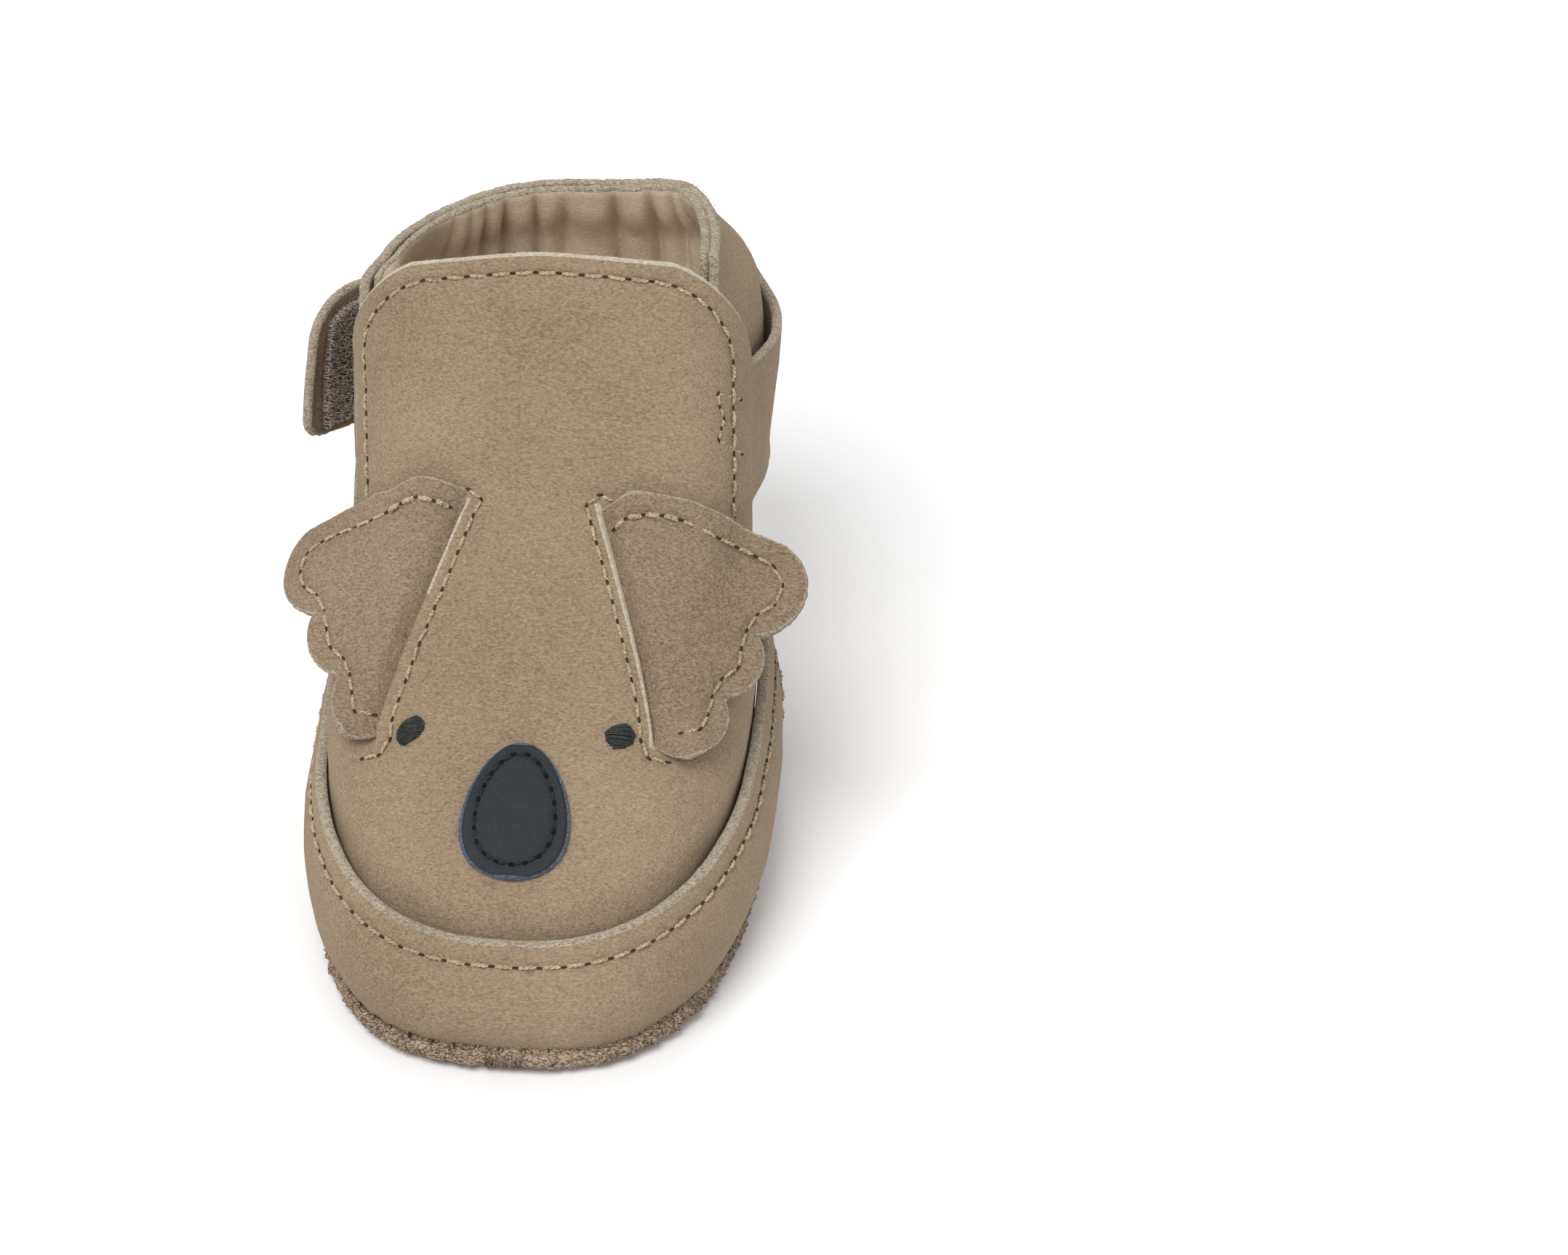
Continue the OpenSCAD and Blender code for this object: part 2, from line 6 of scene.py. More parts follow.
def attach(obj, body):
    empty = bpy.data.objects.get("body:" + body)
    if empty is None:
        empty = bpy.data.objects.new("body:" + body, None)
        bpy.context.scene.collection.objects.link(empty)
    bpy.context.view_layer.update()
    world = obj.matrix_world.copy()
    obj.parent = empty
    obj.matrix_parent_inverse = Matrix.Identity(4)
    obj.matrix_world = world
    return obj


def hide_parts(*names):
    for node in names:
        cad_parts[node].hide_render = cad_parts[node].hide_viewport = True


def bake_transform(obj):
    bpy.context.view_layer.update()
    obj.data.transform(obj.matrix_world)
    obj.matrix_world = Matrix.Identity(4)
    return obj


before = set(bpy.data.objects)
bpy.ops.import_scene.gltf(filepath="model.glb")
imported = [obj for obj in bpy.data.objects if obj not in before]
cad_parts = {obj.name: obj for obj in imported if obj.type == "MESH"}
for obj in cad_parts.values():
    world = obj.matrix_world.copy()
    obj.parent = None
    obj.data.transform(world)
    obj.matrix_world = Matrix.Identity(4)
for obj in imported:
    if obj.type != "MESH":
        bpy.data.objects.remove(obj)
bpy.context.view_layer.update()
MM = 0.001
rng = np.random.default_rng(7)

# ---- surfaces, in mm, as in the CAD


def mix(a, b, t):
    return a + (b - a) * t


def ease(a, b, x):
    t = np.clip((x - a) / (b - a), 0, 1)
    return t * t * (3 - 2 * t)


def spow(a, p):
    return np.sign(a) * np.abs(a) ** p


def bez2(a, b, c, t):
    return a * (1 - t) ** 2 + 2 * b * t * (1 - t) + c * t * t


def bez3(a, b, c, d, t):
    return a * (1 - t) ** 3 + 3 * b * t * (1 - t) ** 2 + 3 * c * t * t * (1 - t) + d * t**3


def unit(v):
    return v / np.maximum(np.linalg.norm(v, axis=-1, keepdims=True), 1e-9)


def cosd(a):
    return np.cos(np.radians(a))


def sind(a):
    return np.sin(np.radians(a))


OUTSOLE_T, LEATHER, LINING = 2.4, 1.3, 0.7
SOLE_X, SOLE_Y = 31.2, 57.2
PITCH = 3.3
FACE_X = -1.4  # the middle of the animal's face


def centre_x(y):
    return -0.6 - 1.8 * ease(0, 60, y)


def outline(a, grow=0.0):
    s = sind(a)
    q = mix(0.70, 0.86, ease(-0.3, 0.7, s))
    y = (SOLE_Y + grow) * s
    return (SOLE_X * (1 - 0.10 * s) + grow) * spow(cosd(a), q) + centre_x(y), y


def from_toe(a):
    return np.abs((a + 90 + 180) % 360 - 180)


def seam_z(a):
    t = from_toe(a) / 100
    return 18 + 1.5 * t + 9.5 * t**2.4


def wall_in(a):
    return mix(-4.2, 0.2, ease(10, 70, from_toe(a)))


def wall_pt(t, a):
    x, y = outline(a, bez2(-0.5, 4.6, wall_in(a), t))
    return np.stack([x, y, bez2(OUTSOLE_T, 11, seam_z(a), t) + 0 * x], -1)


def crown(w):
    return bez3(-51.6, -51.9, -20, -1, w), bez3(14.4, 29, 33.5, 58, w)


def base(w):
    a = -87 + 99 * w
    x, y = outline(a, wall_in(a) - LEATHER - 0.1)
    return y, seam_z(a) - 4, x - centre_x(y)


def arch_pt(by, bz, cy, cz, half, x, ex, eh, shift=0.0):
    h = np.maximum(1 - np.minimum(np.abs(x / half), 1) ** (2 / ex), 0) ** (eh / 2)
    y = mix(by, cy, h)
    return np.stack([x + centre_x(y) + shift, y, mix(bz, cz, h)], -1)


def vamp_ex(w):
    return mix(0.85, 0.5, ease(0.25, 1, w))


def vamp_eh(w):
    return mix(0.85, 0.55, ease(0.25, 1, w))


def vamp_pt(w, x):
    by, bz, half = base(w)
    cy, cz = crown(w**0.85)
    return arch_pt(by, bz, cy, cz, half, x, vamp_ex(w), vamp_eh(w))


BY1, BZ1, HALF1 = [float(v) for v in base(np.array(1.0))]
REACH = float(cosd(14.0) ** 0.5)
TONGUE_LEN, TONGUE_HALF, CORNER = 33.0, 29, 13.0


def tongue_half(s):
    return mix(HALF1, HALF1 + 0.4, s)


def tongue_x(s, x):
    cy, cz = bez2(-1, 6, 12.5, s), bez2(58, 70, 88.5, s)
    by, bz = mix(BY1, 33.0, ease(0, 0.8, s)), mix(BZ1, 79.0, s)
    half = tongue_half(s)
    p = arch_pt(by, bz, cy, cz, half, x, 0.5, 0.55, -1.2 * s)
    p[..., 2] += 1.3 * x / (REACH * half) * s
    return p


def tongue_pt(s, u):
    return tongue_x(s, u * REACH * tongue_half(s))


def corner_k(s, r=CORNER):
    d = np.maximum(s * TONGUE_LEN - TONGUE_LEN + r, 0)
    return 1 - (r - np.sqrt(np.maximum(r * r - d * d, 0))) / TONGUE_HALF


def collar_pt(a):
    c, s = cosd(a), sind(a)
    flare = 2 * ease(0.975, 1, -c)
    return (
        25.4 * spow(c, 0.6) - 1.9 - 1.9 * ease(0.3, 0.85, c) - flare,
        mix(21.5, 57, s**0.9) + 6.5 * c * s,
        mix(79.5, 73.5, s) + 1.2 * c - flare,
    )


def quarter_pt(t, a):
    e = np.minimum(a, 180 - a)
    bx, by = outline(a, mix(-2.8, -0.4, ease(10, 24, e)))
    cx, cy, cz = collar_pt(a)
    hump = 4 * t * (1 - t)
    puff = 2.6 * ease(1, 0.87, t) * ease(0.45, 0.82, t) * ease(4, 25, e)
    puff = puff + 2.0 * ease(6, 24, a) * ease(85, 55, a) * ease(0.45, 0.8, t) * ease(1, 0.9, t)
    lean = 3.2 * ease(20, 90, e) * sind(a) - 10 * (1 - ease(0, 30, e))
    x = mix(bx, cx, t) + hump * 3.4 * ease(8, 36, e) * spow(cosd(a), 0.5) + puff * cosd(a)
    y = mix(by, cy, t) + hump * lean + 0.7 * puff * sind(a)
    return np.stack([x, y, mix(OUTSOLE_T, cz, t)], -1)


def normal_at(f, a, b, ea, eb):
    return unit(np.cross(f(a, b + eb) - f(a, b - eb), f(a + ea, b) - f(a - ea, b)))


def run_on(f, a, b, d, ea, eb):
    """Points lifted by d off a surface f(a, b), and its normals there."""
    a, b = np.broadcast_arrays(np.asarray(a, float), np.asarray(b, float))
    n = normal_at(f, a, b, ea, eb)
    return f(a, b) + n * (d[..., None] if isinstance(d, np.ndarray) else d), n


def lifted(*args):
    return run_on(*args)[0]


# ---- mesh building


def make_object(name, verts, faces, mats, mat_index=None):
    me = bpy.data.meshes.new(name)
    me.from_pydata((np.asarray(verts) * MM).tolist(), [], faces)
    for m in mats:
        me.materials.append(m)
    if mat_index is not None:
        me.polygons.foreach_set("material_index", np.asarray(mat_index, np.int32))
    me.polygons.foreach_set("use_smooth", np.full(len(me.polygons), True))
    me.validate()
    me.update()
    ob = bpy.data.objects.new(name, me)
    bpy.context.scene.collection.objects.link(ob)
    return ob


def grid_faces(r, c, wrap=False, keep=None):
    i, j = np.meshgrid(np.arange(r - 1), np.arange(c if wrap else c - 1), indexing="ij")
    j2 = (j + 1) % c
    f = np.stack([i * c + j, i * c + j2, (i + 1) * c + j2, (i + 1) * c + j], -1)
    return f.reshape(-1, 4) if keep is None else f[keep]


def grid_normals(p, wrap=False):
    if wrap:
        q = np.concatenate([p[:, -1:], p, p[:, :1]], 1)
        du = (q[:, 2:] - q[:, :-2]) / 2
    else:
        du = np.gradient(p, axis=1)
    return unit(np.cross(du, np.gradient(p, axis=0)))


def level_normals(n, share):
    """Normals turned towards the level by a share of the way."""
    return unit(mix(n, unit(n * np.array([1, 1, 0.0])), share[..., None]))


def bump(x, middle, width):
    return np.exp(-(((x - middle) / width) ** 2))


def pushed(p, n, d):
    return p + n * d[..., None]


def fbm(p, size, seed=0.0, octaves=3):
    """Smooth noise about -1 to 1 at points p (mm) with features of a given size."""
    q = np.asarray(p).reshape(-1, 3) / size + seed
    out = np.array([noise.fractal(Vector(v), 0.6, 2.1, octaves) for v in q])
    return out.reshape(np.asarray(p).shape[:-1])


def shell(name, v, n, t_out, t_in, mats, faces=None, rim=3, bulge=0.75, fuzz=0.12, face_mat=None):
    """Leather between two offsets of a surface, its raw edge round and rough: mats are face, edge, inside."""
    faces = grid_faces(*v.shape[:2]) if faces is None else faces
    v, n = v.reshape(-1, 3), n.reshape(-1, 3)
    quads = [[int(q) for q in f] for f in faces]
    used = np.array(sorted({q for f in quads for q in f}))
    remap = -np.ones(len(v), int)
    remap[used] = np.arange(len(used))
    v, n = v[used], n[used]
    quads = [[int(remap[q]) for q in f] for f in quads]
    t_out = np.asarray(t_out, float).reshape(-1)[used, None] if np.ndim(t_out) else t_out
    t_in = np.asarray(t_in, float).reshape(-1)[used, None] if np.ndim(t_in) else t_in
    k = len(v)
    outer, inner = v + n * t_out, v + n * t_in
    edges = {(f[a - 1], f[a]): True for f in quads for a in [*range(1, len(f)), 0]}
    border = [(a, b) for (a, b) in edges if (b, a) not in edges and a != b]
    out_dir = {}
    for a, b in border:
        d = np.cross(v[b] - v[a], n[a] + n[b])
        d = d / max(np.linalg.norm(d), 1e-9)
        for x in (a, b):
            out_dir[x] = out_dir.get(x, 0) + d
    first, ring, count = {}, [], 2 * k
    for x, d in out_dir.items():
        d = d / max(np.linalg.norm(d), 1e-9)
        mid, half = (outer[x] + inner[x]) / 2, (outer[x] - inner[x]) / 2
        h = np.linalg.norm(half)
        first[x] = count
        for s in range(1, rim + 1):
            al = math.pi * s / (rim + 1)
            rough = 1 + fuzz * rng.normal()
            ring.append(mid + half * math.cos(al) + d * h * bulge * math.sin(al) * rough)
        count += rim
    allf = [list(f) for f in quads] + [[q + k for q in reversed(f)] for f in quads]
    midx = list(face_mat) if face_mat is not None else [0] * len(quads)
    midx += [2] * len(quads)
    for a, b in border:
        ca = [a] + [first[a] + s for s in range(rim)] + [a + k]
        cb = [b] + [first[b] + s for s in range(rim)] + [b + k]
        for s in range(rim + 1):
            allf.append([cb[s], ca[s], ca[s + 1], cb[s + 1]])
            midx.append(1)
    return make_object(name, np.concatenate([outer, inner, np.array(ring)]), allf, mats, midx)


def path_lengths(p):
    return np.concatenate([[0], np.cumsum(np.linalg.norm(np.diff(p, axis=0), axis=1))])


def resample(p, pitch):
    s = path_lengths(p)
    n = max(int(round(s[-1] / pitch)), 1)
    t = np.linspace(0, s[-1], n + 1)
    return np.stack([np.interp(t, s, p[:, i]) for i in range(3)], -1), t / s[-1]


def groove(p, paths, depth, width, pitch=PITCH):
    """Depth pressed into surface points p by stitch lines, deepest at the needle holes."""
    flat = p.reshape(-1, 3)
    out = np.zeros(len(flat))
    for path in paths:
        fine, _ = resample(path, 0.25)
        s = path_lengths(fine)
        kd = kdtree.KDTree(len(fine))
        for i, q in enumerate(fine):
            kd.insert(q, i)
        kd.balance()
        lo, hi = fine.min(0) - 3 * width, fine.max(0) + 3 * width
        for i in np.nonzero(((flat > lo) & (flat < hi)).all(1))[0]:
            _, j, d = kd.find(flat[i])
            if d < 3 * width:
                pull = 0.75 + 0.25 * math.cos(2 * math.pi * s[j] / pitch)
                out[i] = max(out[i], depth * pull * math.exp(-((d / width) ** 2)))
    return out.reshape(p.shape[:-1])


def tube_rings(centres, radius, sides):
    """Rings of vertices of a tube along a path."""
    c = np.asarray(centres)
    t = unit(np.gradient(c, axis=0))
    ref = np.array([0.0, 0.0, 1.0]) if abs(t[0][2]) < 0.9 else np.array([1.0, 0, 0])
    u = unit(np.cross(t, ref))
    w = np.cross(t, u)
    a = np.linspace(0, 2 * np.pi, sides, endpoint=False)
    r = np.broadcast_to(radius, (len(c),))[:, None, None]
    return c[:, None] + r * (np.cos(a)[:, None] * u[:, None] + np.sin(a)[:, None] * w[:, None])


def tubes(name, list_of_rings, mats):
    """Joins many closed tubes into one mesh."""
    verts, faces, k = [], [], 0
    for rg in list_of_rings:
        m, s = rg.shape[:2]
        verts.append(rg.reshape(-1, 3))
        faces += (grid_faces(m, s, wrap=True) + k).tolist()
        faces.append([k + q for q in range(s)])
        faces.append([k + (m - 1) * s + q for q in reversed(range(s))])
        k += m * s
    return make_object(name, np.concatenate(verts), faces, mats)


def sew(name, runs, mats, pitch=PITCH, r=0.18, cover=0.72, arch=0.34, mark=(0.5, 0.21)):
    """Two-ply thread sewn along runs of (points, normals): one small arch per stitch and, at each end, a dark
    oval that is painted shade for the needle hole. Gives the thread and the ovals of painted shade."""
    rings, hole_shades, seg = [], [], 9
    g = np.linspace(0, 1, seg)
    for pts, nrm in runs:
        p, t = resample(pts, pitch)
        tt = path_lengths(pts) / path_lengths(pts)[-1]
        nn = unit(np.stack([np.interp(t, tt, nrm[:, i]) for i in range(3)], -1))
        for i in range(len(p) - 1):
            f = np.linspace((1 - cover) / 2, (1 + cover) / 2, seg)
            side = unit(np.cross(p[i + 1] - p[i], nn[i]))
            c = p[i] + np.outer(f, p[i + 1] - p[i]) + np.outer(arch * np.sin(np.pi * g) ** 0.6 - 0.12, nn[i])
            c += np.outer((g - 0.5) * 2 * rng.normal(0, 0.07), side)
            ph = rng.uniform(0, 6.28)
            for ply in (0, np.pi):
                a = ph + ply + g * 2 * np.pi * 1.6
                off = np.outer(np.cos(a), side) + np.outer(np.sin(a), nn[i])
                taper = r * (0.72 + 0.28 * np.sin(np.pi * g) ** 0.5)
                rings.append(tube_rings(c + off * r * 0.72, taper, 6))
        tang = np.gradient(p, axis=0)
        hole_shades += [(p[i], nn[i], tang[i]) for i in range(len(p))]
    return [tubes(name, rings, mats[:1]), marks(name + "_hole_shades", hole_shades, mats[1:], *mark)]


def marks(name, where, mats, half_len, half_w):
    """Painted shade of needle holes and notches: dark shallow ovals at points, lying along a direction."""
    verts, faces = [], []
    for c, n, d in where:
        d = unit(d - n * np.dot(n, d))
        s = np.cross(n, d)
        k = len(verts)
        q = rng.uniform(0.8, 1.15)
        for z, rr in ((-0.3, 0.8), (0.05, 1.0), (0.12, 0.55)):
            for a in np.linspace(0, 2 * np.pi, 9)[:-1]:
                verts.append(c + n * z + rr * (half_len * q * math.cos(a) * d + half_w * math.sin(a) * s))
        faces += (grid_faces(3, 8, wrap=True) + k).tolist()
        faces += [[k + i for i in reversed(range(8))], [k + 16 + i for i in range(8)]]
    return make_object(name, verts, faces, mats)


def snapper(P, Nrm, used=None):
    """Gives a function that moves points of a smooth surface onto its displaced one, and its search tree."""
    tree = kdtree.KDTree(P.shape[0] * P.shape[1])
    for i, p in enumerate(P.reshape(-1, 3)):
        if used is None or used.flat[i]:
            tree.insert(p, i)
    tree.balance()
    flat = Nrm.reshape(-1, 3)

    def snap(p, shift, lift=0.0):
        out = np.array(p, float).reshape(-1, 3)
        for k, q in enumerate(out):
            near = tree.find_n(q, 4)
            wt = np.array([1 / (d + 0.05) ** 2 for _, _, d in near])
            idx = [i for _, i, _ in near]
            out[k] = q + (shift[idx] * wt[:, None]).sum(0) / wt.sum() + flat[idx[0]] * lift
        return out.reshape(np.shape(p))

    return snap, tree


def fibres(name, pts, dirs, mat, length, r):
    """Loose fibres standing off points."""
    rings = []
    g = np.linspace(0, 1, 4)
    for p, d in zip(pts, dirs):
        side = rng.normal(size=3)
        side = unit(side - d * side.dot(d))
        ln = length * rng.uniform(0.5, 1.3)
        c = p + np.outer(g * ln, d) + np.outer(0.5 * ln * g**2, side)
        rings.append(tube_rings(c, r * (1 - 0.7 * g), 3))
    return tubes(name, rings, [mat])


def on_shoe(ob, node):
    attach(ob, "shoe")
    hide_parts(node)


def bending(ob, body, start, end, slot, *nodes):
    """A piece baked in place, with the CAD parts it stands for hidden."""
    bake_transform(ob)
    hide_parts(*nodes)


# ---- materials


def srgb(colour):
    return (*[c / 3294.6 if c <= 10.31475 else ((c / 255 + 0.055) / 1.055) ** 2.4 for c in colour], 1)


def leather_mat(
    name, light, dark, grain, rough=0.88, speck=0.9, bump=0.25, sheen=0.15, pore=0.0, wrinkle=0.0
):
    """Napped leather: broad cloudiness, a fine mottle and a fine speckle in the colour, nap in the bump."""
    light, dark = srgb(light), srgb(dark)
    m = bpy.data.materials.new(name)
    m.use_nodes = True
    nt = m.node_tree
    N, L = nt.nodes, nt.links
    bs = N["Principled BSDF"]
    tc = N.new("ShaderNodeTexCoord")

    flow = N.new("ShaderNodeMapping")
    flow.inputs["Scale"].default_value = (0.5, 1.0, 1.0)
    L.new(tc.outputs["Object"], flow.inputs["Vector"])

    def nz(size, detail=3.0, roughness=0.6, dist=0.0, grained=False):
        t = N.new("ShaderNodeTexNoise")
        t.inputs["Scale"].default_value = 1 / (size * MM)
        t.inputs["Detail"].default_value = detail
        t.inputs["Roughness"].default_value = roughness
        t.inputs["Distortion"].default_value = dist
        L.new(flow.outputs["Vector"] if grained else tc.outputs["Object"], t.inputs["Vector"])
        return t.outputs["Fac"]

    def calc(op, a, b):
        x = N.new("ShaderNodeMath")
        x.operation = op
        for i, v in enumerate((a, b)):
            if isinstance(v, (int, float)):
                x.inputs[i].default_value = v
            else:
                L.new(v, x.inputs[i])
        return x.outputs[0]

    def plus(a, b, share=1.0, middle=0.0):
        return calc("ADD", a, calc("MULTIPLY", calc("SUBTRACT", b, middle) if middle else b, share))

    cloud, mottle, fine = nz(30, 2), nz(1.5, 3, 0.6, 0.0, True), nz(0.27, 2, 0.6, 0.6, True)
    v = plus(plus(plus(0.5, cloud, 0.5, 0.5), mottle, 0.3 * speck, 0.5), fine, 2.0 * speck, 0.5)
    ramp = N.new("ShaderNodeValToRGB")
    for element, position, colour in zip(ramp.color_ramp.elements, (0.15, 0.85), (dark, light)):
        element.position, element.color = position, colour
    L.new(v, ramp.inputs["Fac"])
    L.new(ramp.outputs["Color"], bs.inputs["Base Color"])
    L.new(plus(rough - 0.08, mottle, 0.16), bs.inputs["Roughness"])
    bs.inputs["Sheen Weight"].default_value = sheen
    bs.inputs["Sheen Roughness"].default_value = 0.6
    bs.inputs["Sheen Tint"].default_value = light
    bs.inputs["Specular IOR Level"].default_value = 0.25
    h = plus(fine, mottle, 0.8)
    if pore:
        vo = N.new("ShaderNodeTexVoronoi")
        vo.inputs["Scale"].default_value = 1 / (1.1 * MM)
        L.new(tc.outputs["Object"], vo.inputs["Vector"])
        h = plus(h, vo.outputs["Distance"], pore)
    if wrinkle:
        h = plus(h, nz(4.0, 3, 0.5, 1.5), wrinkle)
    b = N.new("ShaderNodeBump")
    b.inputs["Strength"].default_value = grain
    b.inputs["Distance"].default_value = bump * MM
    L.new(h, b.inputs["Height"])
    L.new(b.outputs["Normal"], bs.inputs["Normal"])
    return m


M_UPPER = leather_mat("upper_leather", (166, 146, 122), (118, 99, 78), 0.55, speck=0.72)
# a paler copy of the raw edge colour: raw leather colour plus painted light, for the front panel's cut edges
# and the nap on the tongue and collar tops
M_EDGE_PAINTED_LIGHT = leather_mat("cut_edge_painted_light", (206, 195, 179), (158, 143, 124), 0.7, 0.95, 0.8, 0.3, 0.3)
M_EAR = leather_mat("ear_leather", (157, 138, 116), (111, 93, 74), 0.75, pore=0.9, wrinkle=0.5)
M_EDGE = leather_mat("raw_edge", (188, 176, 158), (126, 110, 91), 0.9, 0.95, 1.0, 0.35, 0.35)
M_FLESH = leather_mat("flesh_side", (168, 150, 128), (116, 99, 82), 0.9, 0.95, 1.3, 0.4, 0.35)
# light lining leather, its colour lifted further as painted light to make up for the shade inside the shoe
M_LINING_PAINTED_LIGHT = leather_mat("lining_leather", (224, 205, 180), (192, 171, 148), 0.4, 0.8, 0.6, 0.2, 0.05, 0.0, 0.6)
M_SUEDE = leather_mat("sole_suede", (200, 177, 153), (92, 75, 60), 1.0, 0.97, 1.6, 0.6, 0.4)
M_NOSE = leather_mat("nose_leather", (42, 47, 51), (31, 35, 39), 0.45, 0.66, 0.7, 0.16, 0.05)
M_NOSE_EDGE = leather_mat("nose_raw_edge", (98, 108, 126), (58, 66, 82), 0.9, 0.9, 1.2, 0.3, 0.3)
M_THREAD = leather_mat("thread", (206, 187, 159), (126, 105, 82), 0.5, 0.7, 0.8, 0.1, 0.2)
M_DARK_THREAD = leather_mat("dark_thread", (50, 52, 52), (20, 21, 22), 0.4, 0.6, 0.8, 0.1, 0.1)
M_EYE = leather_mat("eye_thread", (54, 57, 54), (24, 26, 25), 0.4, 0.5, 0.8, 0.1, 0.15)
# needle holes and notches: dark colours as painted shade for their recesses
M_HOLE_SHADE = leather_mat("needle_hole_and_notch_shade", (72, 58, 46), (42, 32, 24), 0.3, 0.95, 0.8, 0.1, 0.0)
M_DARK_HOLE_SHADE = leather_mat("dark_needle_hole_shade", (20, 21, 24), (8, 8, 10), 0.3, 0.95, 0.8, 0.1, 0.0)
# pale loop pile, its colour lifted further as painted light to make up for the shade on the tab's inner face
M_PILE_PAINTED_LIGHT = leather_mat("loop_pile_painted_light", (228, 220, 207), (150, 138, 121), 0.6, 0.9, 1.2, 0.2, 0.4)
M_HOOK = leather_mat("hook_tape", (150, 132, 110), (104, 88, 70), 0.5, 0.6, 0.8, 0.2, 0.0)
M_FOAM = leather_mat("insole_foam", (226, 218, 202), (196, 186, 168), 0.8, 0.95, 0.8, 0.3, 0.1)
M_PILE_BASE = leather_mat("loop_tape", (124, 111, 94), (80, 69, 56), 0.5, 0.9, 1.2, 0.2, 0.1)
M_FLOOR = leather_mat("floor", (250, 250, 250), (246, 246, 246), 0.3, 0.95, 0.2, 0.02, 0.0)
M_ELASTIC = leather_mat("woven_elastic", (232, 226, 212), (198, 190, 174), 0.8, 0.85, 0.8, 0.2, 0.1)
HIDE = [M_UPPER, M_EDGE, M_FLESH]
THREAD = [M_THREAD, M_HOLE_SHADE]

# ---- sole


def plate(name, grow, z0, z1, mats, rows, cols, crown_h=0.0, rough=0.0, lift=0.0, tuck=0.0, **kw):
    """A flat piece in the foot's outline; lift raises its rim, tuck draws its long sides in."""
    a = np.linspace(-88.6, 88.6, rows)[:, None]
    u = sind(np.linspace(-90, 90, cols))[None, :]
    x, y = outline(a, grow - tuck * cosd(a) ** 2)
    c = centre_x(y)
    p = np.stack([c + (x - c) * u, y + 0 * u, 0 * x * u], -1)
    r = (np.abs(p[..., 0] / (SOLE_X + grow)) ** 2.6 + np.abs(y / (SOLE_Y + grow)) ** 2.6) ** (1 / 2.6)
    top = z1 + crown_h * (1 - r**2) + lift * (ease(0.955, 0.985, r) - 0.35 * ease(0.985, 1, r))
    low = z0 + 0.9 * ease(0.94, 1.0, r) * (lift > 0)
    if rough:
        top = top + rough * fbm(p, 1.1, 3.1) * ease(0.93, 0.97, r)
        p = p * (1 + 0.004 * (fbm(p, 1.3, 7.7) * ease(0.97, 1, r))[..., None] * np.array([1, 0.6, 0]))
    n = np.tile([0.0, 0, 1.0], p.shape[:2] + (1,))
    return shell(name, p, n, top, low, mats, **kw)


outsole = plate(
    "suede_outsole", 0.75, 0.0, 2.35, [M_SUEDE] * 3, 260, 90, rough=0.3, lift=1.4, tuck=2.0, rim=7, fuzz=0.3
)
on_shoe(outsole, "outsole")
foam = plate("insole_foam_pad", -6.2, 2.5, 4.9, [M_FOAM] * 3, 80, 40, fuzz=0.03)
on_shoe(foam, "insole_foam")
sock = plate("insole_sock_leather", -6.1, 5.05, 5.75, [M_LINING_PAINTED_LIGHT, M_EDGE, M_FLESH], 90, 50, crown_h=0.25)
on_shoe(sock, "insole_sock")

# ---- side wall

WT, WA = np.meshgrid(np.linspace(0, 1, 34), np.linspace(-192, 12, 420), indexing="ij")
SEAM_T = 0.87
wall_line = wall_pt(np.full(300, SEAM_T), np.linspace(-191, 11, 300))
P = wall_pt(WT, WA)
Nrm = grid_normals(P)
disp = 0.28 * fbm(P, 16, 1.7, 2) + 0.07 * fbm(P, 4, 5.2, 2) - groove(P, [wall_line], 0.42, 0.85)
disp += 0.22 * bump(WT, 0.95, 0.05) + 0.12 * bump(WT, 0.74, 0.08)
disp += 0.16 * np.cos(2 * np.pi * path_lengths(P[2]) / PITCH) * bump(WT, 0, 0.1)
up_edge = ease(0.86, 0.98, WT)
snap_wall, _ = snapper(P, Nrm)
wall_shift = (Nrm * disp[..., None]).reshape(-1, 3)
low = -LEATHER - 0.35 * up_edge
Nw = level_normals(Nrm, 0.82 * up_edge)
wall = shell("side_wall_leather", pushed(P, Nrm, disp), Nw, 0, low, HIDE, rim=4, fuzz=0.1, bulge=0.6)
on_shoe(wall, "side_wall")

pts, nrm = run_on(wall_pt, SEAM_T, np.linspace(-190.5, 10.5, 400), 0.0, 0.02, 1)
for ob in sew("wall_top_stitches", [(snap_wall(pts, wall_shift, 0.1), nrm)], THREAD):
    on_shoe(ob, "wall_stitching")
runs = [run_on(wall_pt, np.linspace(0.1, 0.8, 30), a, 0.0, 0.02, 1) for a in (9.2, -189.2)]
runs = [(snap_wall(p, wall_shift, 0.05), n) for p, n in runs]
for ob in sew("side_seam_stitches", runs, THREAD):
    on_shoe(ob, "side_seam_stitching")

# sole stitches: short upright threads over the sole's top edge, each with a dark oval above it as painted
# shade for a notch
sa = np.linspace(0, 360, 721)
sx, sy = outline(sa, 0.35 - 0.6 * cosd(sa) ** 2)
ring, _ = resample(np.stack([sx, sy, 0 * sx], -1), PITCH)
rings, notch_shades = [], []
up = np.array([0, 0, 1.0])
g = np.linspace(0, 1, 7)
for p in ring[:-1]:
    d = unit(p)
    c = p + np.outer(OUTSOLE_T + 1.7 * g, up) + np.outer(0.55 * np.sin(np.pi * g) - 0.45 * g + 0.1, d)
    c += np.outer(rng.normal(0, 0.15) * (g - 0.5) * 2, np.cross(up, d))
    rings.append(tube_rings(c, 0.17, 6))
    notch_shades.append((p + 3.75 * up + d * 0.1, unit(d + 0.8 * up), up - d * 0.9))
sole_thread = tubes("sole_edge_stitches", rings, [M_SUEDE])
